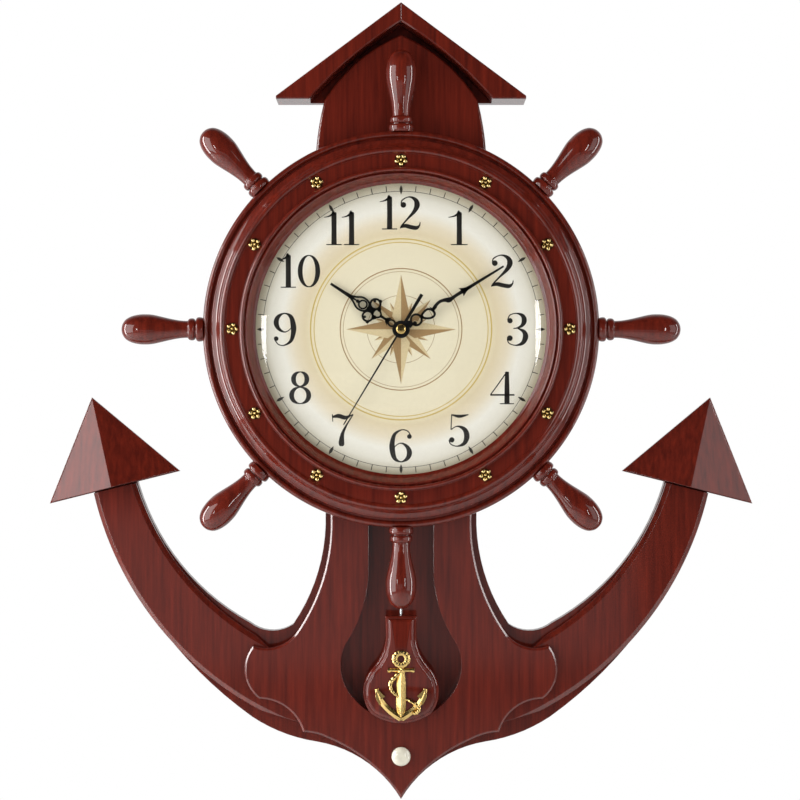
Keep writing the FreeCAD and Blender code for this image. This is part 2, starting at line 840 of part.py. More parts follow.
def make_hanger_plate():
    body = piece("hanger_plate")
    outline = rectangle("hanger_half - seat_gap", "dial_drop + hanger_height / 2 - seat_gap",
                        "dial_drop - hanger_height / 2 + seat_gap")
    pad_outline(body, "plate", outline, "0", "hanger_thick")
    front, through = "hanger_thick", "hanger_thick + overrun"
    cut_discs(body, "entry_hole", "hanger_hole", front, through, (("0", "dial_drop"),))
    slot = rectangle("hanger_slot", "dial_drop + hanger_slot_rise", "dial_drop")
    cut_outline(body, "slot", slot, front, through)
    cut_discs(body, "slot_end", "hanger_slot", front, through,
              (("0", "dial_drop + hanger_slot_rise"),))
    cut_discs(body, "screw_holes", "screw_head + screw_gap", front, through, hanger_screw_places())
    return body


def make_porcelain_knob():
    body = piece("porcelain_knob")
    front = "(back_thick + arm_thick + plate_thick)"
    body.setExpression("Placement.Base.z", bound("-(dial_drop + knob_drop)"))
    turned(body, "dome", [
        ("0", front),
        ("knob_foot", front),
        ("knob_radius", f"{front} + knob_height * 0.3"),
        ("knob_radius * 0.93", f"{front} + knob_height * 0.62"),
        ("knob_radius * 0.62", f"{front} + knob_height * 0.9"),
        ("0", f"{front} + knob_height"),
    ])
    cut_back = sketch(body, "stud_hole_circle", f"{front} + stud_screw_reach")
    draw_circle(cut_back, "stud_screw_radius + screw_gap")
    pocket(body, "stud_hole", cut_back, "stud_screw_reach + overrun")
    return body


def make_knob_stud():
    body = piece("porcelain_knob_stud")
    pad_discs(body, "stud", "stud_screw_radius", "back_thick + arm_thick + seat_gap",
              "plate_thick + stud_screw_reach - seat_gap * 2", (("0", "-(knob_drop)"),))
    return body


def make_movement_case():
    """An open-backed box whose threaded bush passes through the dial."""
    body = piece("movement_case")
    outer = rectangle("case_half", "case_top", "-(case_foot)")
    inner = rectangle("case_half - case_wall", "case_top - case_wall", "-(case_foot - case_wall)")
    pad_outline(body, "box", outer, CASE_BACK, "case_depth")
    cavity = "(dial_back_depth - case_wall)"
    cut_outline(body, "cavity", inner, f"{cavity} - overrun", f"case_depth - case_wall + overrun")
    slot = rectangle("hanger_slot_half", "-(case_foot - case_wall * 2)", "-(case_foot + case_wall)")
    cut_outline(body, "pendulum_slot", slot, f"{cavity} - overrun", "case_depth - case_wall + overrun")
    reach = "case_wall + dial_board_thick + dial_plate_thick + bush_reach"
    pad_discs(body, "bush", "bush_radius", cavity, reach)
    cut_discs(body, "bush_bore", "bush_bore", f"{cavity} + {reach}", f"{reach} + overrun")
    cut_back = "case_wall / 2 + overrun"
    cut_discs(body, "idler_seat", "idler_radius + running_gap",
              f"{cavity} + case_wall / 2 - overrun", cut_back, (idler_place(),))
    return body


def idler_place():
    """The idler stands to the left of the hands by the sum of two pitch radii."""
    return ("-(fast_module * (cannon_teeth + idler_teeth) / 2)", "0")


def make_movement_lid():
    body = piece("movement_lid")
    back = f"{CASE_BACK} - lid_thick"
    pad_outline(body, "lid", rectangle("case_half", "case_top", "-(case_foot)"), back, "lid_thick")
    cut_discs(body, "idler_hole", "idler_radius + running_gap", CASE_BACK, "lid_thick + overrun",
              (idler_place(),))
    return body


def make_battery():
    """The cell lies across the top of the case, with its raised tip to the right."""
    body = piece("battery")
    body.setExpression("Placement.Base.z", bound("-(dial_drop - battery_rise)"))
    drawn = sketch(body, "cell_profile", f"(dial_back_depth - case_wall + {CASE_BACK}) / 2")
    draw_outline(drawn, [
        ("-(battery_half)", "0"), ("-(battery_half)", "battery_radius"),
        ("battery_half - battery_tip", "battery_radius"),
        ("battery_half - battery_tip", "battery_tip_radius"),
        ("battery_half", "battery_tip_radius"), ("battery_half", "0"),
    ])
    cell = feature(body, "Revolution", "cell", drawn)
    cell.ReferenceAxis = (drawn, ["H_Axis"])
    cell.Angle = 360
    return body


def make_battery_contacts():
    body = piece("battery_contacts")
    for side, hand in (("left", "-"), ("right", "")):
        reach = "(case_half - case_wall - battery_half)"
        middle = f"{hand}(battery_half + {reach} / 2)"
        half = f"{reach} / 2"
        outline = rectangle(half, "battery_rise + contact_half", "battery_rise - contact_half", middle)
        depth = "(dial_back_depth - case_depth) + contact_half / 2"
        pad_outline(body, f"{side}_contact", outline, depth, "contact_half * 2")
    return body


def make_circuit_board():
    body = piece("circuit_board")
    outline = rectangle("board_half", "-(board_top)", "-(board_top + board_height)")
    pad_outline(body, "board", outline, CASE_BACK, "board_thick")
    return body


def make_coil(name, radius, depth, length, spot):
    """A bobbin with a flange at each end."""
    body = piece(name)
    flange = "board_thick / 2"
    pad_flats(body, "back_flange", radius, depth, flange, (spot,))
    pad_flats(body, "winding", f"{radius} * 0.8", f"{depth} + {flange}", f"{length} - board_thick",
              (spot,))
    pad_flats(body, "front_flange", radius, f"{depth} + {length} - {flange}", flange, (spot,))
    return body


def make_bush_washer():
    body = piece("bush_washer")
    pad_discs(body, "washer", "washer_radius", DIAL_FRONT, "washer_thick")
    cut_discs(body, "hole", "bush_radius + running_gap", f"{DIAL_FRONT} + washer_thick",
              "washer_thick + overrun")
    return body


def make_bush_nut():
    body = piece("bush_nut")
    sides = 6
    corners = []
    for n in range(sides):
        turn = math.tau * n / sides
        reach = f"nut_across / {math.cos(math.pi / sides):.6f}"
        corners.append((f"{reach} * {math.cos(turn):.6f}", f"{reach} * {math.sin(turn):.6f}"))
    depth = f"({DIAL_FRONT} + washer_thick)"
    pad_outline(body, "nut", corners, depth, "nut_thick")
    cut_discs(body, "thread", "bush_radius + running_gap", f"{depth} + nut_thick",
              "nut_thick + overrun")
    return body


# a tooth, as shares of the module: half widths at the root and the tip, and its two heights
TOOTH_SHARES = {"root_half": 0.62, "tip_half": 0.26, "above": 0.9, "below": 1.2}


def add_gear(body, name, teeth, module, depth, length, spot="0"):
    """A toothed wheel on its own axis: a disc to the root and one tooth repeated round it."""
    root = f"({module} * ({teeth} / 2 - {TOOTH_SHARES['below']}))"
    crest = f"({module} * ({teeth} / 2 + {TOOTH_SHARES['above']}))"
    pad_discs(body, f"{name}_disc", root, depth, length)
    drawn = sketch(body, f"{name}_tooth_outline", depth)
    low, high = TOOTH_SHARES["root_half"], TOOTH_SHARES["tip_half"]
    draw_outline(drawn, [
        (f"-{module} * {low}", f"{root} * 0.96"), (f"{module} * {low}", f"{root} * 0.96"),
        (f"{module} * {low}", root), (f"{module} * {high}", crest),
        (f"-{module} * {high}", crest), (f"-{module} * {low}", root),
    ])
    tooth = pad(body, f"{name}_tooth", drawn, length)
    return repeat_round(body, f"{name}_teeth", tooth, teeth)


def turn_piece(body, turn):
    """Turns a piece clockwise about its own axis, seen from the front."""
    spin = FreeCAD.Rotation(FreeCAD.Vector(0, 1, 0), number(turn))
    body.Placement = FreeCAD.Placement(body.Placement.Base, spin)
    body.setExpression("Placement.Rotation.Angle", bound(turn))


def wheel_depth():
    """The back of the idler wheel: the hour wheel clears the case, and the idler clears that."""
    return "(dial_back_depth - case_wall - wheel_gap * 2 - wheel_thick)"


def hour_wheel_depth():
    return "(dial_back_depth - case_wall - running_gap * 10 - wheel_thick)"


def make_minute_arbor():
    body = piece("minute_arbor")
    back = f"({wheel_depth()} - wheel_thick)"
    add_gear(body, "pinion", "cannon_teeth", "fast_module", wheel_depth(), "wheel_thick")
    end = "minute_hand_depth + hand_thick"
    pad_discs(body, "arbor", "minute_radius", back, f"{end} - {back}")
    cut_discs(body, "bore", "minute_bore", end, f"{end} - {back} + overrun")
    return body


def make_idler():
    """The wheel driven by the cannon pinion, with the pinion that drives the hour wheel."""
    body = piece("idler_wheel")
    body.setExpression("Placement.Base.x", bound(idler_place()[0]))
    add_gear(body, "wheel", "idler_teeth", "fast_module", wheel_depth(), "wheel_thick")
    front = f"({wheel_depth()} + wheel_thick)"
    top = f"({hour_wheel_depth()} + wheel_thick)"
    add_gear(body, "pinion", "idler_pinion_teeth", "slow_module", front, f"{top} - {front}")
    back = "((dial_back_depth - case_depth) - lid_thick - running_gap)"
    pad_discs(body, "arbor", "idler_radius", back,
              f"dial_back_depth - case_wall / 2 - running_gap * 4 - {back}")
    turn_piece(body, "180 / idler_teeth")
    return body


def make_set_knob():
    body = piece("set_knob")
    body.setExpression("Placement.Base.x", bound(idler_place()[0]))
    end = "((dial_back_depth - case_depth) - lid_thick - running_gap)"
    depth = f"({end} - set_knob_thick)"
    notches = 12
    corners = []
    for n in range(notches):
        for share, step in ((1.0, 0.0), (0.86, 0.5)):
            turn = math.tau * (n + step) / notches
            corners.append((f"set_knob_radius * {math.cos(turn) * share:.6f}",
                            f"set_knob_radius * {math.sin(turn) * share:.6f}"))
    pad_outline(body, "grip", corners, depth, "set_knob_thick")
    return body


def make_hour_wheel():
    body = piece("hour_wheel")
    depth = hour_wheel_depth()
    add_gear(body, "wheel", "hour_teeth", "slow_module", depth, "wheel_thick")
    end = "(hour_hand_depth + hand_thick)"
    pad_discs(body, "tube", "tube_radius", depth, f"{end} - {depth}")
    cut_discs(body, "bore", "tube_bore", end, f"{end} - {depth} + overrun")
    turn_piece(body, "180 / hour_teeth - 180 / idler_teeth * idler_pinion_teeth / hour_teeth")
    return body


def make_second_arbor():
    body = piece("second_arbor")
    depth = "((dial_back_depth - case_depth) + board_thick + wheel_thick)"
    add_gear(body, "wheel", "second_teeth", "slow_module", depth, "wheel_thick")
    pad_discs(body, "arbor", "second_radius", depth,
              f"second_hand_depth + hand_thick - {depth}")
    return body


def flat_piece(name, parts, holes, depth, thick, turn):
    """A thin plate from flat shapes, with holes, at a depth in front of the wall."""
    plate = parts[0].fuse(parts[1:])
    if holes:
        plate = plate.cut(holes)
    far, near = number(depth), number(f"{depth} + {thick}")
    rise = FreeCAD.Matrix()
    rise.move(FreeCAD.Vector(0, -far, 0))
    plate = plate.removeSplitter().transformGeometry(rise)
    return feature_piece(name, plate.extrude(FreeCAD.Vector(0, far - near, 0)), turn)


DISC_SIDES = 16
# a hole in flats clears a shaft of the same radius when it is drawn larger by this share
ROUND_SHARE = 1 / math.cos(math.pi / DISC_SIDES)


def flat_disc(radius, across, up):
    """A small disc in flats, with its corners on its circle."""
    turns = [math.tau * (n + 0.5) / DISC_SIDES for n in range(DISC_SIDES)]
    return flat_shape([(across + radius * math.cos(t), up + radius * math.sin(t)) for t in turns])


def flat_shape(points):
    corners = [FreeCAD.Vector(across, 0, up) for across, up in points]
    return Part.Face(Part.makePolygon(corners + corners[:1]))


# the hour hand as shares of its length: discs (across, along, radius), their holes,
# and half widths along the blade
HOUR_DISC_SHARES = [
    (0.0, 0.133, 0.052), (0.078, 0.405, 0.072), (-0.078, 0.405, 0.072), (0.0, 0.325, 0.03),
    (0.0, 0.54, 0.034),
]
HOUR_HOLE_SHARES = [(0.0, 0.133, 0.026), (0.082, 0.41, 0.038), (-0.082, 0.41, 0.038)]
HOUR_BLADE_SHARES = [
    (0.0, 0.016), (0.185, 0.016), (0.2, 0.042), (0.215, 0.016), (0.44, 0.02), (0.48, 0.03),
    (0.6, 0.02), (0.7, 0.03), (0.76, 0.018), (1.0, 0.004),
]
MINUTE_DISC_SHARES = [
    (0.0, 0.145, 0.05), (0.0, 0.225, 0.055), (0.0, 0.278, 0.036), (0.0, 0.46, 0.022),
    (0.0, 0.52, 0.02),
]
MINUTE_HOLE_SHARES = [(0.0, 0.145, 0.028), (0.0, 0.225, 0.033)]
MINUTE_BLADE_SHARES = [
    (0.0, 0.011), (0.3, 0.011), (0.308, 0.034), (0.316, 0.011), (0.42, 0.014), (0.48, 0.01),
    (0.57, 0.016), (0.6, 0.028), (0.62, 0.014), (1.0, 0.003),
]


def make_hand(name, size, discs, holes, blade):
    """An ornate hand: a hub, a blade of changing width, and rings along it."""
    length, hub = number(f"{size}_length"), number("hub_radius")
    left = [(-half_share * length, along_share * length) for along_share, half_share in blade]
    right = [(-across, up) for across, up in reversed(left)]
    parts = [flat_disc(hub, 0, 0), flat_shape(left + right)]
    parts += [flat_disc(r * length, x * length, z * length) for x, z, r in discs]
    cuts = [flat_disc(r * length, x * length, z * length) for x, z, r in holes]
    bore = "tube_radius" if name == "hour_hand" else "minute_radius"
    cuts.append(flat_disc(number(bore) * ROUND_SHARE, 0, 0))
    return flat_piece(name, parts, cuts, f"{size}_depth", "hand_thick", f"{size}_turn")


def make_second_hand():
    length, tail = number("second_hand_length"), number("second_hand_tail")
    half, hub = number("second_hand_width / 2"), number("cap_radius")
    blade = [(-half, 0), (-half / 2, length), (half / 2, length), (half, 0)]
    weight = [(-half, 0), (-half, -tail / 3), (-half * 3, -tail / 2), (-half * 3, -tail),
              (half * 3, -tail), (half * 3, -tail / 2), (half, -tail / 3), (half, 0)]
    parts = [flat_disc(hub, 0, 0), flat_shape(blade), flat_shape(weight)]
    cuts = [flat_disc(number("second_radius") * ROUND_SHARE, 0, 0)]
    return flat_piece("second_hand", parts, cuts, "second_hand_depth", "hand_thick / 2",
                      "second_hand_turn")


def make_second_cap():
    body = piece("second_hand_cap")
    front = "(second_hand_depth + hand_thick)"
    turned(body, "cap", [
        ("0", front), ("cap_radius", front), ("cap_radius", f"{front} + cap_height * 0.5"),
        ("cap_radius * 0.6", f"{front} + cap_height"), ("0", f"{front} + cap_height"),
    ])
    return body


def make_pendulum_pivot():
    body = piece("pendulum_pivot")
    pad_discs(body, "pin", "pivot_radius", CASE_BACK, "case_depth - case_wall",
              (("0", "-(pivot_drop)"),))
    return body


def make_pendulum_hanger():
    """The arm that the swing starts in: a hub on the pivot and a peg for the rod."""
    body = piece("pendulum_hanger")
    depth, thick = "hanger_arm_depth", "hanger_arm_thick"
    arm = rectangle("hanger_arm_half", "-(pivot_drop)", "-(pivot_drop + hanger_arm_length)")
    pad_outline(body, "arm", arm, depth, thick)
    pad_discs(body, "hub", "hanger_hub", depth, thick, (("0", "-(pivot_drop)"),))
    pad_discs(body, "peg", "peg_radius", depth, f"{thick} + peg_length", (("0", "-(peg_drop)"),))
    cut_discs(body, "pivot_hole", "pivot_radius + running_gap", f"{depth} + {thick}",
              f"{thick} + overrun", (("0", "-(pivot_drop)"),))
    return body


def make_pendulum_magnet():
    body = piece("pendulum_magnet")
    pad_discs(body, "magnet", "magnet_radius", "hanger_arm_depth + hanger_arm_thick",
              "magnet_thick", (("0", "-(pendulum_coil_drop)"),))
    return body


def make_pendulum_rod():
    """A steel rod with a flat eye at the top that hooks over the peg."""
    body = piece("pendulum_rod")
    depth = "(hanger_arm_depth + hanger_arm_thick)"
    place_of_eye = (("0", "-(peg_drop)"),)
    rod = sketch(body, "rod_profile", "rod_depth")
    draw_outline(rod, [
        ("0", "-(block_top)"), ("rod_radius", "-(block_top)"),
        ("rod_radius", "-(peg_drop + eye_radius * 0.8)"), ("0", "-(peg_drop + eye_radius * 0.8)"),
    ])
    stem = feature(body, "Revolution", "rod", rod)
    stem.ReferenceAxis = (rod, ["V_Axis"])
    stem.Angle = 360
    pad_discs(body, "eye", "eye_radius", depth, "eye_thick", place_of_eye)
    cut_discs(body, "eye_hole", "peg_radius + running_gap", f"{depth} + eye_thick + overrun",
              "eye_thick + overrun * 3", place_of_eye)
    return body


def make_bob_block():
    body = piece("bob_block")
    outline = rectangle("block_half", "-(block_top)", "-(block_top + block_height)")
    pad_outline(body, "block", outline, "block_back_depth", "bob_back_depth - block_back_depth")
    return body


# the bell-shaped bob, left side, as shares of bob_half and of bob_height from its top
BOB_SHARES = [
    (0.0, 0.0), (-0.42, 0.0), (-0.402, 0.165),
    (-0.475, 0.325, "by"), (-0.77, 0.495),
    (-1.0, 0.68, "by"), (-0.79, 0.913),
    (0.0, 1.0, "by"),
]


def make_pendulum_bob():
    body = piece("pendulum_bob")
    half = [
        (f"bob_half * {row[0]}", f"-(bob_top) - bob_height * {row[1]}") + tuple(row[2:])
        for row in BOB_SHARES
    ]
    pad_outline(body, "bell", both_sides(half), "bob_back_depth", "bob_thick")
    chamfer(body, "front_edge", "bob_chamfer", lambda edge: (
        lies_at(edge, "bob_back_depth + bob_thick")
    ))
    return body


# the emblem, as shares of emblem_half and emblem_height, its crown at the foot
EMBLEM_ARM_SHARES = [
    (-0.16, 0.56), (-0.16, 0.80),
    (-0.52, 0.80, "by"), (-0.80, 0.62),
    (-1.0, 0.60), (-0.86, 0.78),
    (-0.52, 0.92, "by"), (0.0, 1.0),
]


def make_bob_emblem():
    """A small cast anchor: a ring, a stock, a shank and two arms with pointed flukes."""
    body = piece("bob_emblem")
    depth = "bob_back_depth + bob_thick"
    top = "-(emblem_top)"
    shank_top = "emblem_height * 0.25"
    arms = [
        (f"emblem_half * {row[0]}", f"{top} - emblem_height * {row[1]}") + tuple(row[2:])
        for row in EMBLEM_ARM_SHARES
    ]
    half = [("0", f"{top} - {shank_top}"), ("-(emblem_half * 0.16)", f"{top} - {shank_top}")]
    pad_outline(body, "anchor", both_sides(half + arms), depth, "emblem_thick")
    bar = rectangle("emblem_half * 0.5", f"{top} - emblem_height * 0.28",
                    f"{top} - emblem_height * 0.335")
    pad_outline(body, "stock", bar, depth, "emblem_thick")
    ring = (("0", f"{top} - emblem_height * 0.14"),)
    pad_discs(body, "ring", "emblem_height * 0.14", depth, "emblem_thick * 0.8", ring)
    cut_discs(body, "ring_hole", "emblem_height * 0.045", f"{depth} + emblem_thick",
              "emblem_thick", ring)
    return body


def make_all():
    make_back_board()
    make_shank_panel()
    make_centre_plate()
    for side in ("left", "right"):
        make_arm_board(side)
        make_roof(side)
        make_fluke(side)
    make_wheel_rim()
    make_wheel_handles()
    make_rim_studs()
    make_dial_board()
    make_dial_plate()
    make_dial_spacer()
    make_dial_glass()
    make_dial_standoffs()
    make_screws("dial_screws", standoff_places(), "back_thick",
                "dial_back_depth + dial_board_thick - overrun", "screw_head_thick")
    make_screws("rim_screws", rim_screw_places(), "back_thick", "rim_screw_end - overrun",
                "screw_head_thick")
    make_hanger_plate()
    make_screws("hanger_screws", hanger_screw_places(), "0", "hanger_screw_end - overrun",
                "hanger_thick")
    make_porcelain_knob()
    make_knob_stud()
    make_movement_case()
    make_movement_lid()
    make_battery()
    make_battery_contacts()
    make_circuit_board()
    make_coil("drive_coil", "coil_radius", f"({CASE_BACK} + board_thick)", "coil_height",
              ("coil_side", "-(coil_drop)"))
    make_coil("pendulum_coil", "pendulum_coil_radius",
              "(dial_back_depth - case_wall - pendulum_coil_height)", "pendulum_coil_height",
              ("0", "-(pendulum_coil_drop)"))
    make_bush_washer()
    make_bush_nut()
    make_minute_arbor()
    make_idler()
    make_set_knob()
    make_hour_wheel()
    make_second_arbor()
    make_hand("hour_hand", "hour_hand", HOUR_DISC_SHARES, HOUR_HOLE_SHARES, HOUR_BLADE_SHARES)
    make_hand("minute_hand", "minute_hand", MINUTE_DISC_SHARES, MINUTE_HOLE_SHARES,
              MINUTE_BLADE_SHARES)
    make_second_hand()
    make_second_cap()
    make_pendulum_pivot()
    make_pendulum_hanger()
    make_pendulum_magnet()
    make_pendulum_rod()
    make_bob_block()
    make_pendulum_bob()
    make_bob_emblem()


def check_document():
    """Stops the build where a feature failed or a cut took nothing away."""
    doc.recompute()
    faults = []
    for item in doc.Objects:
        if "Invalid" in item.State or "Error" in item.State:
            faults.append(f"{item.Name} of {item.getParentGeoFeatureGroup().Label} did not compute")
            continue
        if item.TypeId in ("PartDesign::Pocket", "PartDesign::Groove"):
            base = item.BaseFeature.Shape
            if not base.isNull() and item.Shape.Volume >= base.Volume:
                faults.append(f"{item.Name} of {item.getParentGeoFeatureGroup().Label} cuts nothing")
    for item in PIECES:
        if item.Shape.isNull() or not item.Shape.isValid():
            faults.append(f"{item.Label} has no sound shape")
    if faults:
        raise RuntimeError("; ".join(faults))


make_all()
check_document()
os.makedirs("parts", exist_ok=True)
for item in PIECES:
    item.Shape.exportStep(f"parts/{item.Label}.step")
    print(item.Label, len(item.Shape.Solids), "solids", round(item.Shape.Volume), "mm3")
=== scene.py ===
import math

import bmesh
import bpy
import numpy as np
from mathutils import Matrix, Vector


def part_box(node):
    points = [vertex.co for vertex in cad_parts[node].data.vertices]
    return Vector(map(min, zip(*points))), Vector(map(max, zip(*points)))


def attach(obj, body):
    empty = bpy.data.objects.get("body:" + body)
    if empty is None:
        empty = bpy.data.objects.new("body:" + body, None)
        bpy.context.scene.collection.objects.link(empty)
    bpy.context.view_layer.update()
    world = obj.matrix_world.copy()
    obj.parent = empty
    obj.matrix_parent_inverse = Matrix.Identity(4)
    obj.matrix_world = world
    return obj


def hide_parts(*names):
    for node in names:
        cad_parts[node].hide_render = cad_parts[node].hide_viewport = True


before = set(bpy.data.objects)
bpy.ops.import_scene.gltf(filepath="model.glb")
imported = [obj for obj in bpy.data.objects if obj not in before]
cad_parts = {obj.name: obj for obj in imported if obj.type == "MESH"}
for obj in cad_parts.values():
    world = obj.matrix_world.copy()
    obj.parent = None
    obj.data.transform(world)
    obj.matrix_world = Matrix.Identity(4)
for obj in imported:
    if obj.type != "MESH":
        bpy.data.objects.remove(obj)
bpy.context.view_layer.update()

bl_info = {
    "name": "Anchor Wall Clock Finish",
    "version": (1, 0, 0),
    "blender": (4, 5, 0),
    "location": "View3D > Sidebar > Clock",
    "description": "Turned wheel, printed dial, hands, pendulum bob and finishes for an anchor wall clock",
    "category": "Object",
}

MM = 0.001
ACROSS, DEPTH, UP = range(3)


def box_mm(node, end, axis):
    """One coordinate of a CAD node's box in millimetres: end 0 is its low corner, 1 its high."""
    return float(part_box(node)[end][axis]) / MM


DIAL_Z = (box_mm("wheel_rim", 0, UP) + box_mm("wheel_rim", 1, UP)) / 2
DIAL_FRONT = -box_mm("dial_plate", 0, DEPTH)
PLATE_FRONT = -box_mm("centre_plate", 0, DEPTH)
KNOB_Z = (box_mm("porcelain_knob", 0, UP) + box_mm("porcelain_knob", 1, UP)) / 2
KNOB_RADIUS = box_mm("porcelain_knob", 1, ACROSS)
BOB_TOP = box_mm("pendulum_bob", 1, UP)
BOB_BACK = -box_mm("pendulum_bob", 1, DEPTH)
EMBLEM_DROP = 8.0        # how much lower the anchor sits on the bob than its solid
EMBLEM_TOP = box_mm("bob_emblem", 1, UP) - EMBLEM_DROP
EMBLEM_HEIGHT = box_mm("bob_emblem", 1, UP) - box_mm("bob_emblem", 0, UP)
EMBLEM_HALF = box_mm("bob_emblem", 1, ACROSS)
EMBLEM_BACK = -box_mm("bob_emblem", 1, DEPTH)
CAP_BACK = -box_mm("second_hand_cap", 1, DEPTH)

ROUND_STEPS = 256        # facets round the rim, the glass and the printed rings
SMALL_STEPS = 64         # facets round the handles, the cap and the knob
MERGE_GAP = 0.0005       # points nearer than this are one point


def linear(text):
    """A colour given as sRGB hex, as linear light with full alpha."""
    parts = np.array([int(text[n:n + 2], 16) for n in (1, 3, 5)]) / 255
    light = np.where(parts <= 0.04045, parts / 12.92, ((parts + 0.055) / 1.055) ** 2.4)
    return (*light.tolist(), 1.0)


def colour_prop(name, description, text):
    """A colour that the user picks, given as sRGB hex."""
    return bpy.props.FloatVectorProperty(
        name=name, description=description, subtype="COLOR", size=4, min=0.0, max=1.0,
        default=linear(text))


def length_prop(name, description, size):
    """A length that the user sets, given in millimetres."""
    return bpy.props.FloatProperty(
        name=name, description=description, default=size * MM, unit="LENGTH", precision=4)


def turn_prop(name, description, turn):
    """An angle that the user sets, given in degrees."""
    return bpy.props.FloatProperty(
        name=name, description=description, default=math.radians(turn), subtype="ANGLE")


class WheelSizes(bpy.types.PropertyGroup):
    """Sizes of the turned wheel round the dial."""
    handles: bpy.props.IntProperty(
        name="Handles", description="Turned handles round the wheel", default=8, min=3)
    studs: bpy.props.IntProperty(
        name="Studs", description="Brass studs on the flat band", default=12, min=3)
    stud_circle: length_prop("Stud circle", "Radius of the ring of studs", 143.1)
    stud_radius: length_prop("Stud radius", "Radius of one stud", 5.8)
    handle_depth: length_prop("Handle depth", "Distance of the handle axes from the wall", 41.5)


class DialSizes(bpy.types.PropertyGroup):
    """Sizes of what is printed on the dial, and where the hands stand."""
    numeral_ring: length_prop("Numeral ring", "Radius on which the numerals are centred", 99.6)
    numeral_height: length_prop("Numeral height", "Height of a numeral", 28.4)
    track_outer: length_prop("Minute track", "Outer radius of the minute track", 123.0)
    hour_turn: turn_prop("Hour hand", "Clockwise turn of the hour hand from twelve", 302.9)
    minute_turn: turn_prop("Minute hand", "Clockwise turn of the minute hand from twelve", 58.5)
    second_turn: turn_prop("Seconds hand", "Clockwise turn of the seconds hand from twelve", 211.0)


class ClockColours(bpy.types.PropertyGroup):
    """Colours that an owner would choose."""
    wood_dark: colour_prop("Wood, dark grain", "Dark lines of the stained wood", "#430e06")
    wood_mid: colour_prop("Wood", "Main colour of the stained wood", "#56160a")
    wood_light: colour_prop("Wood, light grain", "Light lines of the stained wood", "#661c0e")
    brass: colour_prop("Brass", "Polished brass", "#e3c27c")
    cream: colour_prop("Dial", "Cream ground of the dial", "#ebe2c8")
    tan: colour_prop("Dial, tan", "Warm shaded ring of the dial", "#dfcfae")
    sepia: colour_prop("Dial, sepia", "Dark ink of the compass rose", "#a48357")


def grid(points, close_rows=False, close_columns=False):
    """A sheet of quads over a grid of points; either direction may join its own start."""
    points = np.asarray(points, float)
    rows, columns = points.shape[:2]
    index = np.arange(rows * columns).reshape(rows, columns)
    if close_rows:
        index = np.vstack([index, index[:1]])
    if close_columns:
        index = np.hstack([index, index[:, :1]])
    quads = np.stack([index[:-1, :-1], index[:-1, 1:], index[1:, 1:], index[1:, :-1]], axis=-1)
    return points.reshape(-1, 3), quads.reshape(-1, 4).tolist()


def blend(a, b, c, d, steps):
    """Stretches of a Catmull-Rom curve from each b to its c: cubics that blend the two and
    their neighbours, a and d."""
    t = np.linspace(0, 1, steps, endpoint=False)[:, None, None]
    run = 0.5 * (2 * b + (c - a) * t + (2 * a - 5 * b + 4 * c - d) * t ** 2
                 + (3 * b - a - 3 * c + d) * t ** 3)
    return run.transpose(1, 0, 2).reshape(-1, b.shape[1])


def smooth_run(points, steps):
    """A smooth curve through points, from the first to the last."""
    ends = np.asarray(points, float)
    ends = np.vstack([2 * ends[0] - ends[1], ends, 2 * ends[-1] - ends[-2]])
    return np.vstack([blend(ends[:-3], ends[1:-2], ends[2:-1], ends[3:], steps), ends[-2:-1]])


def smooth_loop(points, steps):
    """The same curve through points that close on themselves."""
    ends = np.asarray(points, float)
    return blend(np.roll(ends, 1, 0), ends, np.roll(ends, -1, 0), np.roll(ends, -2, 0), steps)


def arc_through(start, middle, finish, steps=24):
    """Points of the circle through three points, from the first to the last but one."""
    (ax, ay), (bx, by), (cx, cy) = start, middle, finish
    twice = 2 * (ax * (by - cy) + bx * (cy - ay) + cx * (ay - by))
    a, b, c = ax ** 2 + ay ** 2, bx ** 2 + by ** 2, cx ** 2 + cy ** 2
    ox = (a * (by - cy) + b * (cy - ay) + c * (ay - by)) / twice
    oy = (a * (cx - bx) + b * (ax - cx) + c * (bx - ax)) / twice
    turns = np.unwrap([math.atan2(y - oy, x - ox) for x, y in (start, middle, finish)])
    turn = np.linspace(turns[0], turns[2], steps, endpoint=False)
    reach = math.hypot(ax - ox, ay - oy)
    return np.stack([ox + reach * np.cos(turn), oy + reach * np.sin(turn)], axis=-1)


def revolved(profile, up=DIAL_Z, steps=ROUND_STEPS):
    """A profile of radii and depths carried round an axis that points at the viewer:
    across is the radius times the sine of the turn, up is the radius times its cosine."""
    radius, depth = np.asarray(profile, float).T
    turn = np.linspace(0, math.tau, steps, endpoint=False)[:, None]
    points = np.stack([radius * np.sin(turn), -depth + 0 * turn, up + radius * np.cos(turn)], axis=-1)
    return grid(points, True, True)


def rings_across(path, ahead, radius, sides, flat):
    """Rings of points along a path: each lies square to the way ahead, and reaches the radius
    times the cosine of a turn to the side and a share of its sine towards the viewer."""
    ahead = ahead / np.linalg.norm(ahead, axis=1, keepdims=True)
    side = np.cross(ahead, (0.0, 1.0, 0.0))
    side /= np.linalg.norm(side, axis=1, keepdims=True)
    front = np.cross(side, ahead)
    turn = np.linspace(0, math.tau, sides, endpoint=False)[None, :, None]
    return path[:, None] + radius[:, None, None] * (
        side[:, None] * np.cos(turn) + flat * front[:, None] * np.sin(turn))


def tube(path, radius, sides=12, flat=1.0):
    """A round section carried along a path of points, with its ends drawn to a point."""
    path = np.asarray(path, float)
    radius = np.broadcast_to(radius, len(path)).astype(float)
    path = np.vstack([path[:1], path, path[-1:]])
    radius = np.concatenate([[0.0], radius, [0.0]])
    ahead = np.gradient(path, axis=0)
    ahead[0], ahead[-1] = path[2] - path[1], path[-2] - path[-3]
    ahead[1], ahead[-2] = ahead[0], ahead[-1]
    return grid(rings_across(path, ahead, radius, sides, flat), False, True)


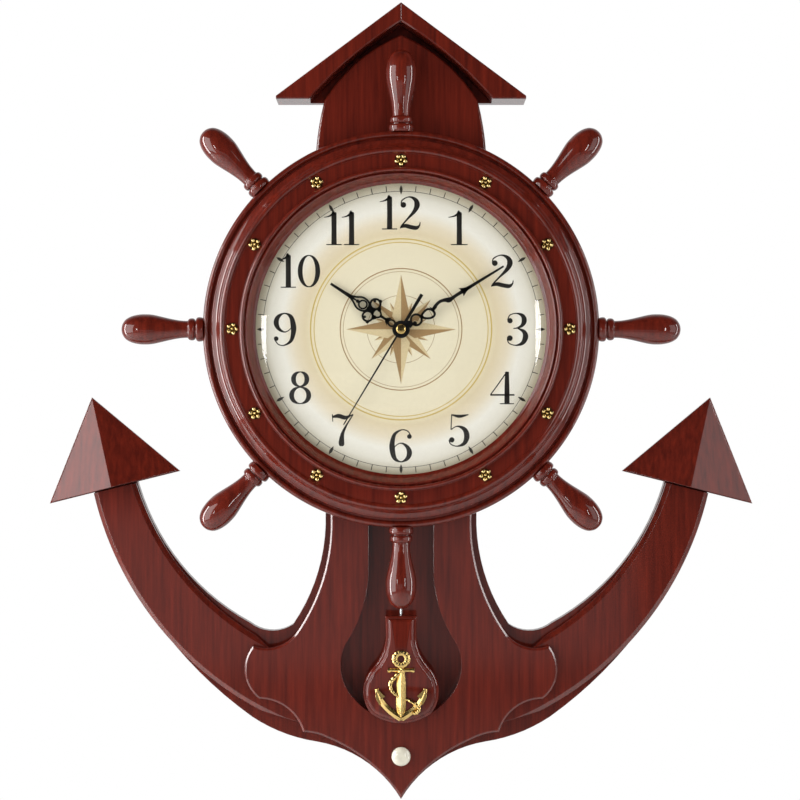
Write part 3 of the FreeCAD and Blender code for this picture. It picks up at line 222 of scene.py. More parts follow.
def ring_tube(path, radius, sides, flat):
    """The same section carried round a path whose last point is its first."""
    path, radius = path[:-1], radius[:-1]
    ahead = np.roll(path, -1, 0) - np.roll(path, 1, 0)
    return grid(rings_across(path, ahead, radius, sides, flat), True, True)


def ribbon(run, width, back, front, closed=False):
    """A flat band of changing width along a line in the plane of the dial, with a real
    thickness: its four edges lie half a width to each side, at the back and front depths."""
    run = np.asarray(run, float)
    width = np.broadcast_to(width, len(run)).astype(float)[:, None]
    if closed:
        ahead = np.roll(run, -1, 0) - np.roll(run, 1, 0)
    else:
        ahead = np.gradient(run, axis=0)
    ahead /= np.linalg.norm(ahead, axis=1, keepdims=True)
    side = np.stack([ahead[:, 1], -ahead[:, 0]], axis=-1)
    left, right = run - side * width / 2, run + side * width / 2
    ring = [lift(left, front), lift(right, front), lift(right, back), lift(left, back)]
    points, quads = grid(np.stack(ring, axis=1), closed, True)
    if not closed:
        last = len(points)
        quads += [[3, 2, 1, 0], [last - 4, last - 3, last - 2, last - 1]]
    return points, quads


def lift(flat, depth):
    """Points of the plane of the dial, across and up, placed at a depth before the wall."""
    flat = np.asarray(flat, float)
    return np.stack([flat[:, 0], np.full(len(flat), -depth), flat[:, 1]], axis=-1)


def plate(outline, back, front):
    """A flat plate: the outline at two depths, joined round its edge and closed by two faces."""
    outline = np.asarray(outline, float)
    count = len(outline)
    points = np.vstack([lift(outline, front), lift(outline, back)])
    near = np.arange(count)
    after = np.roll(near, -1)
    quads = np.stack([near, after, after + count, near + count], axis=-1).tolist()
    return points, quads + [near.tolist(), (near[::-1] + count).tolist()]


def circle(radius, across=0.0, up=0.0, steps=32):
    """Points of a circle: the radius times the cosine and the sine of the turn."""
    turn = np.linspace(0, math.tau, steps, endpoint=False)
    return np.stack([across + radius * np.cos(turn), up + radius * np.sin(turn)], axis=-1)


def turned_round(shell, turn, up=DIAL_Z):
    """A shell that lies about the origin, turned clockwise there and then raised."""
    points, faces = shell
    points = np.array(points)
    x, z = points[:, 0].copy(), points[:, 2].copy()
    points[:, 0] = x * math.cos(turn) + z * math.sin(turn)
    points[:, 2] = up + z * math.cos(turn) - x * math.sin(turn)
    return points, faces


def make_piece(name, shells, finish, body, stands_for=(), crease=38.0):
    """Joins closed shells given in millimetres into one piece, merges what meets at poles and
    seams, turns every face outwards, and says what the piece rides on and stands for."""
    points, faces, start = [], [], 0
    for shell_points, shell_faces in shells:
        points.append(shell_points)
        faces += [[corner + start for corner in face] for face in shell_faces]
        start += len(shell_points)
    mesh = bpy.data.meshes.new(name)
    mesh.from_pydata(np.vstack(points) * MM, [], faces)
    shaped = bmesh.new()
    shaped.from_mesh(mesh)
    bmesh.ops.remove_doubles(shaped, verts=shaped.verts, dist=MERGE_GAP * MM)
    bmesh.ops.dissolve_degenerate(shaped, edges=shaped.edges, dist=MERGE_GAP * MM)
    bmesh.ops.recalc_face_normals(shaped, faces=shaped.faces)
    shaped.to_mesh(mesh)
    shaped.free()
    mesh.shade_smooth()
    mesh.set_sharp_from_angle(angle=math.radians(crease))
    piece = bpy.data.objects.new(name, mesh)
    bpy.context.scene.collection.objects.link(piece)
    mesh.materials.append(finish)
    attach(piece, body)
    if stands_for:
        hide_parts(*stands_for)
    return piece


def dress(names, finish):
    """Gives CAD nodes a finish, in the slots that they have."""
    for name in names:
        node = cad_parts[name]
        if not node.material_slots:
            node.data.materials.append(finish)
        for place in node.material_slots:
            place.material = finish


def add(tree, kind, sockets=None, stops=None, **settings):
    """A node with its settings, its socket values or links, and the stops of a colour ramp."""
    node = tree.nodes.new(kind)
    for name, value in settings.items():
        setattr(node, name, value)
    for socket, value in (sockets or {}).items():
        if isinstance(value, bpy.types.NodeSocket):
            tree.links.new(value, node.inputs[socket])
        else:
            node.inputs[socket].default_value = value
    if stops:
        ramp = node.color_ramp
        while len(ramp.elements) < len(stops):
            ramp.elements.new(0.5)
        for element, (place, colour) in zip(ramp.elements, stops):
            element.position = place
            element.color = colour
    return node


def blank_finish(name):
    """A material without nodes, and its tree."""
    finish = bpy.data.materials.new(name)
    finish.use_nodes = True
    finish.node_tree.nodes.clear()
    return finish, finish.node_tree


def close_finish(tree, shader):
    """Joins the finished shader to the material's output."""
    add(tree, "ShaderNodeOutputMaterial", {"Surface": shader})


def stained_mahogany(name, colours, gloss=0.10, softness=0.9):
    """Turned and planed mahogany, stained red and lacquered: a deep gloss, fine upright grain,
    and soft edges that catch a thin line of light."""
    finish, tree = blank_finish(name)
    place = add(tree, "ShaderNodeTexCoord").outputs["Object"]
    # grain lines are about 4 mm apart and run up the piece
    drawn_out = add(tree, "ShaderNodeMapping", {"Vector": place, "Scale": (1.0, 1.0, 0.05)})
    grain = add(tree, "ShaderNodeTexNoise", {
        "Vector": drawn_out.outputs[0], "Scale": 1 / (4 * MM), "Detail": 5.0, "Roughness": 0.62})
    # pores are about 0.5 mm wide, drawn a little coarser than real so that they show
    pores = add(tree, "ShaderNodeTexNoise", {
        "Vector": drawn_out.outputs[0], "Scale": 1 / (0.7 * MM), "Detail": 2.0})
    tint = add(tree, "ShaderNodeValToRGB", {"Fac": grain.outputs["Fac"]}, stops=[
        (0.30, colours.wood_dark), (0.50, colours.wood_mid), (0.72, colours.wood_light)])
    edges = add(tree, "ShaderNodeBevel", {"Radius": softness * MM}, samples=6)
    relief = add(tree, "ShaderNodeBump", {
        "Strength": 0.05, "Distance": 0.10 * MM, "Height": pores.outputs["Fac"],
        "Normal": edges.outputs[0]})
    # the gloss is all in the lacquer, and the wood under it is matt
    shader = add(tree, "ShaderNodeBsdfPrincipled", {
        "Base Color": tint.outputs["Color"], "Roughness": 0.5, "Specular IOR Level": 0.08,
        "Coat Weight": 1.0, "Coat Roughness": gloss, "Coat IOR": 1.5,
        "Normal": relief.outputs[0], "Coat Normal": edges.outputs[0]})
    close_finish(tree, shader.outputs[0])
    return finish


def worn_metal(name, colour, rough, spot, depth=0.03):
    """Metal with a slightly uneven polish: cloudy gloss a few millimetres wide."""
    finish, tree = blank_finish(name)
    place = add(tree, "ShaderNodeTexCoord").outputs["Object"]
    cloud = add(tree, "ShaderNodeTexNoise", {
        "Vector": place, "Scale": 1 / (spot * MM), "Detail": 4.0, "Roughness": 0.6})
    gloss = add(tree, "ShaderNodeMapRange", {
        "Value": cloud.outputs["Fac"], "From Min": 0.3, "From Max": 0.7,
        "To Min": rough * 0.7, "To Max": rough * 1.4})
    shade = [part * 0.82 for part in colour[:3]] + [1.0]
    tint = add(tree, "ShaderNodeValToRGB", {"Fac": cloud.outputs["Fac"]}, stops=[
        (0.25, shade), (0.65, colour)])
    edges = add(tree, "ShaderNodeBevel", {"Radius": 0.15 * MM}, samples=4)
    relief = add(tree, "ShaderNodeBump", {
        "Strength": 0.2, "Distance": depth * MM, "Height": cloud.outputs["Fac"],
        "Normal": edges.outputs[0]})
    shader = add(tree, "ShaderNodeBsdfPrincipled", {
        "Base Color": tint.outputs["Color"], "Metallic": 1.0,
        "Roughness": gloss.outputs["Result"], "Normal": relief.outputs[0]})
    close_finish(tree, shader.outputs[0])
    return finish


def moulded(name, colour, rough, grit, depth, coat=0.0):
    """A moulded or coated skin: one colour with a faint mottle and a fine grit of real size."""
    finish, tree = blank_finish(name)
    place = add(tree, "ShaderNodeTexCoord").outputs["Object"]
    skin = add(tree, "ShaderNodeTexNoise", {
        "Vector": place, "Scale": 1 / (grit * MM), "Detail": 3.0, "Roughness": 0.55})
    shade = [part * 0.86 for part in colour[:3]] + [1.0]
    tint = add(tree, "ShaderNodeValToRGB", {"Fac": skin.outputs["Fac"]}, stops=[
        (0.30, shade), (0.62, colour)])
    relief = add(tree, "ShaderNodeBump", {
        "Strength": 0.25, "Distance": depth * MM, "Height": skin.outputs["Fac"]})
    shader = add(tree, "ShaderNodeBsdfPrincipled", {
        "Base Color": tint.outputs["Color"], "Roughness": rough, "Coat Weight": coat,
        "Coat Roughness": 0.05, "Normal": relief.outputs[0]})
    close_finish(tree, shader.outputs[0])
    return finish


GLASS_INDEX = 1.45


def clear_glass():
    """Blown clock glass: clear face on, with sharp reflections that grow towards its edge."""
    finish, tree = blank_finish("clock_glass")
    clear = add(tree, "ShaderNodeBsdfTransparent", {"Color": (0.985, 0.99, 0.985, 1.0)})
    shine = add(tree, "ShaderNodeBsdfGlossy", {"Color": (1.0, 1.0, 1.0, 1.0), "Roughness": 0.02})
    # the inner face carries a clear anti-glare coat, so only the outer face mirrors
    inside = add(tree, "ShaderNodeNewGeometry").outputs["Backfacing"]
    index = add(tree, "ShaderNodeMapRange", {"Value": inside, "To Min": GLASS_INDEX, "To Max": 1.0})
    share = add(tree, "ShaderNodeFresnel", {"IOR": index.outputs["Result"]})
    both = add(tree, "ShaderNodeMixShader", {
        0: share.outputs[0], 1: clear.outputs[0], 2: shine.outputs[0]})
    close_finish(tree, both.outputs[0])
    return finish


CARD_RADIUS, CARD_THICK, BUSH_HOLE = 131.0, 1.0, 4.2


def radius_on_dial(tree):
    """The distance from the axis of the dial, as a share of the card's radius."""
    place = add(tree, "ShaderNodeTexCoord").outputs["Object"]
    centred = add(tree, "ShaderNodeMapping", {
        "Vector": place, "Location": (0.0, 0.0, -DIAL_Z * MM), "Scale": (1.0, 0.0, 1.0)})
    reach = add(tree, "ShaderNodeVectorMath", {0: centred.outputs[0]}, operation="LENGTH")
    share = add(tree, "ShaderNodeMapRange", {
        "Value": reach.outputs["Value"], "From Min": 0.0, "From Max": CARD_RADIUS * MM})
    return place, share.outputs["Result"]


def printed_dial_card(colours):
    """Coated card printed in soft rings: cream ground, a tan shadow inside the numerals and a
    pearl band under them; its edge is darkened grey, a painted shade under the rim's lip."""
    finish, tree = blank_finish("printed_dial_card")
    place, share = radius_on_dial(tree)
    rings = add(tree, "ShaderNodeValToRGB", {"Fac": share}, stops=[
        (0.00, colours.cream), (0.56, linear("#e7dcc0")), (0.63, colours.tan),
        (0.70, linear("#e6d9c0")), (0.78, linear("#f2eee4")), (0.86, linear("#ebe6d9")),
        # the last two stops darken the edge grey: painted shade under the rim's lip
        (0.92, linear("#d2cab5")), (0.98, linear("#b1a790"))])
    # the card's mottle is about 3 mm wide and very faint
    fibre = add(tree, "ShaderNodeTexNoise", {
        "Vector": place, "Scale": 1 / (3 * MM), "Detail": 6.0, "Roughness": 0.65})
    faint = add(tree, "ShaderNodeMapRange", {
        "Value": fibre.outputs["Fac"], "From Min": 0.3, "From Max": 0.7, "To Min": 0.94, "To Max": 1.0})
    tint = add(tree, "ShaderNodeVectorMath", {0: rings.outputs["Color"], 3: faint.outputs["Result"]},
               operation="SCALE")
    shader = add(tree, "ShaderNodeBsdfPrincipled", {
        "Base Color": tint.outputs["Vector"], "Roughness": 0.42, "Coat Weight": 0.25,
        "Coat Roughness": 0.2})
    close_finish(tree, shader.outputs[0])
    return finish


def ink(name, colour, rough=0.45):
    """Screen printed ink: flat colour, a little uneven where it lies on the card."""
    return moulded(name, colour, rough, 1.2, 0.01)


# radii and depths of the rim in millimetres, run by run from its back round to the rebate
RIM_RUNS = [
    ("line", [(133.0, 28.0), (169.2, 28.0), (169.3, 28.4), (169.3, 43.6)]),
    ("curve", [(169.3, 44.0), (168.9, 46.2), (167.7, 47.7), (166.3, 48.2), (164.9, 47.7), (164.0, 46.6)]),
    ("line", [(163.7, 45.3), (161.9, 45.3), (161.6, 48.4)]),
    ("curve", [(161.4, 49.0), (160.8, 49.6), (160.0, 49.8), (157.8, 50.9), (155.9, 52.9), (154.8, 55.0)]),
    ("line", [(154.6, 55.3)]),
    ("curve", [(154.4, 55.6), (153.6, 57.6), (151.9, 58.8), (150.2, 58.2), (149.3, 57.0)]),
    ("line", [(148.8, 56.5), (137.6, 56.5)]),
    ("curve", [(137.2, 57.0), (136.6, 59.9), (135.2, 61.1), (133.8, 60.4), (133.2, 58.2)]),
    ("line", [(132.9, 57.2)]),
    ("curve", [(132.6, 57.5), (131.6, 58.6), (130.4, 57.8)]),
    ("line", [(130.2, 57.2)]),
    ("curve", [(129.9, 56.9), (127.8, 54.2), (125.8, 51.9), (124.1, 50.9)]),
    ("line", [(123.8, 50.6), (123.8, 48.05), (133.0, 48.05)]),
]


def rim_profile():
    """The rim's section, with its rolls and coves as smooth curves between plain lines."""
    return np.vstack([smooth_run(points, 6) if kind == "curve" else points for kind, points in RIM_RUNS])


class CLOCK_OT_wheel_rim(bpy.types.Operator):
    """Turned rim: a section of rolls, a groove and a flat band carried round the dial."""
    bl_idname = "clock.wheel_rim"
    bl_label = "Wheel rim"

    def execute(self, context):
        finish = stained_mahogany("turned_mahogany", context.scene.clock_colours, 0.06, 0.35)
        rim = [revolved(rim_profile())]
        make_piece("turned_rim", rim, finish, "case", ("wheel_rim",))
        return {"FINISHED"}


# radii and places along a handle in millimetres, from the tenon to the tip
HANDLE_TENON = [(0.0, 158.5), (3.5, 158.5), (3.5, 168.8)]
HANDLE_RUNS = [
    [(9.6, 168.8), (10.3, 170.7), (10.5, 172.5), (10.2, 174.0), (9.2, 175.0)],
    [(7.8, 175.2), (7.7, 175.9)],
    [(8.5, 176.1), (9.3, 177.3), (9.5, 179.0), (9.2, 180.7), (8.3, 181.8)],
    [(7.4, 182.2), (7.3, 184.2), (7.8, 190.0), (9.2, 197.5), (11.1, 205.5), (12.6, 212.5),
     (13.0, 218.3), (12.7, 224.2), (11.3, 230.2), (8.8, 234.9), (5.5, 237.6), (2.6, 238.7), (0.0, 238.9)],
]


def handle_shell(depth):
    """One handle, upright above the dial's axis: a turned section about its own length."""
    runs = [np.array(HANDLE_TENON)] + [smooth_run(run, 6) for run in HANDLE_RUNS]
    radius, along = np.vstack(runs).T
    turn = np.linspace(0, math.tau, SMALL_STEPS, endpoint=False)[:, None]
    points = np.stack([radius * np.cos(turn), radius * np.sin(turn) - depth, along + 0 * turn], axis=-1)
    return grid(points, True, False)


class CLOCK_OT_wheel_handles(bpy.types.Operator):
    """Turned handles: one section of two beads, a neck and a bulb, repeated round the wheel."""
    bl_idname = "clock.wheel_handles"
    bl_label = "Wheel handles"

    def execute(self, context):
        sizes = context.scene.clock_wheel
        finish = stained_mahogany("polished_mahogany", context.scene.clock_colours, 0.03, 0.3)
        shell = handle_shell(sizes.handle_depth / MM)
        turns = np.arange(sizes.handles) * math.tau / sizes.handles
        handles = [turned_round(shell, turn) for turn in turns]
        make_piece("turned_handles", handles, finish, "case", ("wheel_handles",))
        return {"FINISHED"}


STUD_PETALS, BAND_FRONT = 5, 56.45
# half sizes of a petal and of the stud's heart: across, towards the viewer and up
PETAL_HALF, HEART_HALF = (2.1, 2.4, 2.1), (1.4, 2.6, 1.4)


def petal_shells(stud_circle, radius):
    """One stud: ellipsoids, their half sizes times the sines and cosines of two angles, in a
    ring round a small one and cut off at the band."""
    across = np.linspace(0, math.pi, 9)[:, None]
    turn = np.linspace(0, math.tau, 14, endpoint=False)[None, :]
    ball = np.stack([np.sin(across) * np.cos(turn), -np.cos(across) + 0 * turn,
                     np.sin(across) * np.sin(turn)], axis=-1)
    shells = []
    for petal in range(STUD_PETALS + 1):
        heart = petal == STUD_PETALS
        half = HEART_HALF if heart else PETAL_HALF
        points, faces = grid(ball * half, False, True)
        points[:, 2] += 0.0 if heart else radius - half[2]
        points[:, 1] = np.minimum(points[:, 1], 0.0) - BAND_FRONT
        angle = math.tau * (petal + 0.5) / STUD_PETALS
        shells.append(turned_round((points, faces), angle, stud_circle))
    return shells


class CLOCK_OT_rim_studs(bpy.types.Operator):
    """Brass studs: rings of polished petals over seats painted dark as the shade between them, repeated on
    the flat band.
    """
    bl_idname = "clock.rim_studs"
    bl_label = "Rim studs"

    def execute(self, context):
        sizes = context.scene.clock_wheel
        ring, radius = sizes.stud_circle / MM, sizes.stud_radius / MM
        turns = np.arange(sizes.studs) * math.tau / sizes.studs
        petals = [turned_round(shell, turn) for shell in petal_shells(ring, radius) for turn in turns]
        seat = [(0.0, BAND_FRONT), (radius * 0.9, BAND_FRONT), (radius * 0.9, BAND_FRONT + 0.5),
                (0.0, BAND_FRONT + 0.9)]
        seat_shell = revolved(seat, ring, 32)
        seats = [turned_round(seat_shell, turn) for turn in turns]
        # polished petals flash, and the seats between them are brass painted dark: painted shade in the
        # slits between the petals
        polished = worn_metal("polished_brass", linear("#e8cd8c"), 0.13, 2.0)
        # near-black brass on the seats: painted shade showing through the gaps between the petals
        dark = worn_metal("painted_shade_brass", linear("#3a2a18"), 0.4, 1.0)
        make_piece("stud_petals", petals, polished, "case", ("rim_studs",), 60.0)
        make_piece("stud_seats", seats, dark, "case")
        return {"FINISHED"}


class CLOCK_OT_dial_face(bpy.types.Operator):
    """Dial card: a thin disc with a hole for the bush, printed in soft rings."""
    bl_idname = "clock.dial_face"
    bl_label = "Dial face"

    def execute(self, context):
        finish = printed_dial_card(context.scene.clock_colours)
        back = DIAL_FRONT - CARD_THICK
        card = revolved([(BUSH_HOLE, back), (CARD_RADIUS, back), (CARD_RADIUS, DIAL_FRONT),
                         (BUSH_HOLE, DIAL_FRONT)])
        make_piece("dial_card", [card], finish, "case", ("dial_plate",))
        return {"FINISHED"}


# strokes of the numerals as shares of their height: across, up and width
STROKES = {
    "1": [[(0.23, 0.02, 0.165), (0.23, 0.50, 0.155), (0.23, 0.93, 0.155), (0.25, 1.0, 0.11)],
          [(-0.03, 0.835, 0.02), (0.06, 0.855, 0.035), (0.14, 0.89, 0.06), (0.235, 0.975, 0.08)],
          [(0.03, 0.015, 0.03), (0.23, 0.015, 0.035), (0.43, 0.015, 0.03)]],
    "2": [[(0.07, 0.72, 0.03), (0.10, 0.88, 0.04), (0.28, 0.98, 0.04), (0.44, 0.90, 0.12),
           (0.49, 0.74, 0.17), (0.42, 0.55, 0.12), (0.25, 0.33, 0.06), (0.09, 0.12, 0.045),
           (0.05, 0.03, 0.03)],
          [(0.05, 0.06, 0.05), (0.18, 0.11, 0.12), (0.33, 0.07, 0.13), (0.47, 0.05, 0.12),
           (0.55, 0.12, 0.05), (0.57, 0.22, 0.025)]],
    "3": [[(0.06, 0.78, 0.03), (0.12, 0.93, 0.035), (0.28, 0.98, 0.04), (0.42, 0.91, 0.12),
           (0.46, 0.76, 0.16), (0.40, 0.61, 0.10), (0.27, 0.535, 0.035), (0.20, 0.53, 0.03)],
          [(0.20, 0.53, 0.03), (0.30, 0.53, 0.035), (0.45, 0.43, 0.12), (0.49, 0.27, 0.17),
           (0.42, 0.09, 0.12), (0.26, 0.02, 0.04), (0.10, 0.08, 0.035), (0.05, 0.22, 0.03)]],
    "4": [[(0.42, 0.98, 0.035), (0.22, 0.62, 0.035), (0.03, 0.29, 0.035)],
          [(0.02, 0.28, 0.05), (0.30, 0.28, 0.05), (0.60, 0.28, 0.05)],
          [(0.42, 0.02, 0.16), (0.42, 0.50, 0.15), (0.42, 0.975, 0.12)],
          [(0.25, 0.015, 0.03), (0.42, 0.015, 0.035), (0.59, 0.015, 0.03)]],
    "5": [[(0.11, 0.97, 0.03), (0.30, 0.92, 0.10), (0.52, 0.97, 0.03)],
          [(0.12, 0.97, 0.035), (0.11, 0.75, 0.03), (0.10, 0.52, 0.03)],
          [(0.10, 0.52, 0.03), (0.25, 0.62, 0.04), (0.42, 0.53, 0.13), (0.48, 0.33, 0.17),
           (0.42, 0.11, 0.12), (0.25, 0.02, 0.04), (0.10, 0.08, 0.035), (0.05, 0.20, 0.03)]],
    "6": [[(0.53, 0.82, 0.03), (0.45, 0.95, 0.035), (0.31, 0.98, 0.04), (0.15, 0.85, 0.10),
           (0.09, 0.60, 0.15), (0.09, 0.38, 0.17), (0.15, 0.12, 0.12), (0.30, 0.02, 0.04),
           (0.45, 0.12, 0.12), (0.50, 0.30, 0.16), (0.44, 0.48, 0.11), (0.30, 0.58, 0.04),
           (0.17, 0.50, 0.03), (0.12, 0.38, 0.03)]],
    "7": [[(0.05, 0.98, 0.03), (0.055, 0.88, 0.03), (0.06, 0.76, 0.025)],
          [(0.06, 0.90, 0.06), (0.20, 0.93, 0.13), (0.36, 0.88, 0.12), (0.50, 0.95, 0.04),
           (0.55, 0.98, 0.03)],
          [(0.54, 0.96, 0.03), (0.40, 0.68, 0.05), (0.30, 0.42, 0.10), (0.27, 0.20, 0.16),
           (0.27, 0.08, 0.17), (0.27, 0.02, 0.10)]],
}
# round ends of strokes: centre across and up, and radius
BALLS = {"2": [(0.13, 0.74, 0.085)], "3": [(0.12, 0.76, 0.08), (0.115, 0.235, 0.085)],
         "5": [(0.12, 0.21, 0.08)], "6": [(0.50, 0.78, 0.07)]}
# closed rings: centre across and up, half width and half height
LOOPS = {"0": [(0.31, 0.50, 0.23, 0.47)], "8": [(0.30, 0.755, 0.16, 0.215), (0.30, 0.265, 0.205, 0.245)]}
DIGIT_WIDTH, NARROW_DIGITS = 0.60, {"0": 0.62, "1": 0.46}
# how much broader the numerals are than these strokes, with one figure and with two
WIDE_SHARE, NARROW_SHARE, STROKE_SHARE = 1.26, 1.15, 0.97
INK_BACK, INK_FRONT = DIAL_FRONT - 0.02, DIAL_FRONT + 0.10


def glyph_shells(digit, size, wide, across, up):
    """One figure: strokes of changing width, balls at their ends, and oval rings whose width
    swells with the cosine of the turn. The nine is the six turned over."""
    flip = digit == "9"
    source = "6" if flip else digit
    shells = []

    def placed(x, y):
        x, y = (DIGIT_WIDTH - x, 1 - y) if flip else (x, y)
        return np.stack([across + x * wide * size, up + (y - 0.5) * size], axis=-1)

    for stroke in STROKES.get(source, []):
        run = smooth_run(stroke, 10)
        width = run[:, 2] * size * STROKE_SHARE
        shells.append(ribbon(placed(run[:, 0], run[:, 1]), width, INK_BACK, INK_FRONT))
    for x, y, radius in BALLS.get(source, []):
        spot = circle(radius, x * wide, y)
        shells.append(plate(placed(spot[:, 0] / wide, spot[:, 1]), INK_BACK, INK_FRONT))
    for x, y, half_wide, half_high in LOOPS.get(source, []):
        turn = np.linspace(0, math.tau, 72, endpoint=False)
        oval = placed(x + half_wide * np.cos(turn), y + half_high * np.sin(turn))
        width = (0.03 + 0.115 * np.abs(np.cos(turn)) ** 1.3) * size
        shells.append(ribbon(oval, width, INK_BACK, INK_FRONT, True))
    return shells


class CLOCK_OT_dial_numerals(bpy.types.Operator):
    """Numerals one to twelve, upright on their ring, drawn in strokes that swell and thin."""
    bl_idname = "clock.dial_numerals"
    bl_label = "Dial numerals"

    def execute(self, context):
        sizes = context.scene.clock_dial
        size, ring = sizes.numeral_height / MM, sizes.numeral_ring / MM
        shells = []
        for hour in range(1, 13):
            digits = str(hour)
            turn = math.tau * hour / 12
            wide = WIDE_SHARE if len(digits) == 1 else NARROW_SHARE
            steps = [NARROW_DIGITS.get(digit, DIGIT_WIDTH) * wide * size for digit in digits]
            across = ring * math.sin(turn) - sum(steps) / 2
            up = DIAL_Z + ring * math.cos(turn)
            for digit, step in zip(digits, steps):
                shells += glyph_shells(digit, size, wide, across, up)
                across += step
        finish = ink("numeral_ink", linear("#17130f"))
        make_piece("dial_numerals", shells, finish, "case")
        return {"FINISHED"}


TRACK_WIDTH, TICK_WIDTH, MARK_WIDTH, MARK_STEPS = 5.0, 0.7, 3.4, 14


def printed_ring(radius, width, front=INK_FRONT):
    """A printed circle: a thin rectangle carried round the dial's axis."""
    low, high = radius - width / 2, radius + width / 2
    return revolved([(low, INK_BACK), (high, INK_BACK), (high, front), (low, front)])


class CLOCK_OT_minute_track(bpy.types.Operator):
    """Minute track: short lines outside a thin circle, with a drop at each hour whose width
    follows the sine of its length."""
    bl_idname = "clock.minute_track"
    bl_label = "Minute track"

    def execute(self, context):
        outer = context.scene.clock_dial.track_outer / MM
        inner = outer - TRACK_WIDTH
        swell = MARK_WIDTH * np.sin(np.linspace(0.08, math.pi * 0.97, MARK_STEPS)) ** 0.8
        swell *= np.linspace(0.45, 1.0, MARK_STEPS)
        shells = []
        for minute in range(60):
            turn = math.tau * minute / 60
            ahead = np.array([math.sin(turn), math.cos(turn)])
            run = np.outer(np.linspace(inner, outer, 3), ahead)
            shells.append(ribbon(run + (0, DIAL_Z), TICK_WIDTH, INK_BACK, INK_FRONT))
            if minute % 5 == 0:
                run = np.outer(np.linspace(inner - 2.6, outer - 0.4, MARK_STEPS), ahead)
                shells.append(ribbon(run + (0, DIAL_Z), swell, INK_BACK, INK_FRONT + 0.02))
        shells.append(printed_ring(inner, 0.4))
        make_piece("minute_track", shells, ink("track_ink", linear("#2a241c")), "case")
        return {"FINISHED"}


class CLOCK_OT_dial_rings(bpy.types.Operator):
    """Gilt rings: two thin circles printed inside the numerals."""
    bl_idname = "clock.dial_rings"
    bl_label = "Dial rings"

    def execute(self, context):
        shells = [printed_ring(77.4, 1.1), printed_ring(74.4, 0.7)]
        finish = ink("gold_ink", linear("#cfb463"), 0.35)
        make_piece("gilt_rings", shells, finish, "case")
        return {"FINISHED"}


# compass rose: how many points, their first turn in points, length and half width
ROSE_POINTS = [(8, 0.5, 25.0, 4.6), (4, 0.5, 36.0, 6.6), (4, 0.0, 47.0, 7.6)]
# its circles: radius and width of the line
ROSE_CIRCLES = [(52.0, 0.9), (49.4, 0.4), (29.0, 0.4)]


class CLOCK_OT_compass_rose(bpy.types.Operator):
    """Compass rose: long and short points round the hands, each half light and half dark."""
    bl_idname = "clock.compass_rose"
    bl_label = "Compass rose"

    def execute(self, context):
        colours = context.scene.clock_colours
        halves = {-1: [], 1: []}
        for layer, (count, first, length, half) in enumerate(ROSE_POINTS):
            for point in range(count):
                turn = math.tau * (point + first) / count
                for side, shells in halves.items():
                    corners = [(0.0, 0.0), (side * half, half * 1.5), (0.0, length)]
                    shell = plate(corners, INK_BACK, INK_FRONT - 0.04 + 0.015 * layer)
                    shells.append(turned_round(shell, turn))
        halves[1] += [printed_ring(radius, width, INK_FRONT - 0.05) for radius, width in ROSE_CIRCLES]
        make_piece("rose_dark", halves[1], ink("sepia_ink", colours.sepia), "case")
        pale = ink("pale_sepia_ink", linear("#d9c59b"))
        make_piece("rose_light", halves[-1], pale, "case")
        return {"FINISHED"}


GLASS_FLAT, GLASS_EDGE, GLASS_RISE, GLASS_THICK = 122.0, 132.6, 12.5, 2.0
GLASS_FRONT = 48.0


class CLOCK_OT_dial_glass(bpy.types.Operator):
    """Domed glass: its height falls with the square of the radius down to a flat edge."""
    bl_idname = "clock.dial_glass"
    bl_label = "Dial glass"

    def execute(self, context):
        radius = np.linspace(0, GLASS_FLAT, 40)
        rise = GLASS_RISE * (1 - (radius / GLASS_FLAT) ** 2)
        outer = np.stack([radius, GLASS_FRONT + rise], axis=-1)
        inner = np.stack([radius, GLASS_FRONT - GLASS_THICK + rise], axis=-1)[::-1]
        edge = [(GLASS_EDGE, GLASS_FRONT), (GLASS_EDGE, GLASS_FRONT - GLASS_THICK)]
        dome = revolved(np.vstack([outer, edge, inner]))
        make_piece("domed_glass", [dome], clear_glass(), "case", ("dial_glass",), 60.0)
        return {"FINISHED"}


def ring_run(radius, across=0.0, along=0.0):
    """The middle line of a ring in a hand."""
    return circle(radius, across, along, 40)


def hand_shell(kind, run, width, back, front):
    """A part of a hand, drawn along the hand from its axis: a band, a loop or a plate."""
    if kind == "plate":
        return plate(run, back, front)
    return ribbon(run, width, back, front, kind == "loop")


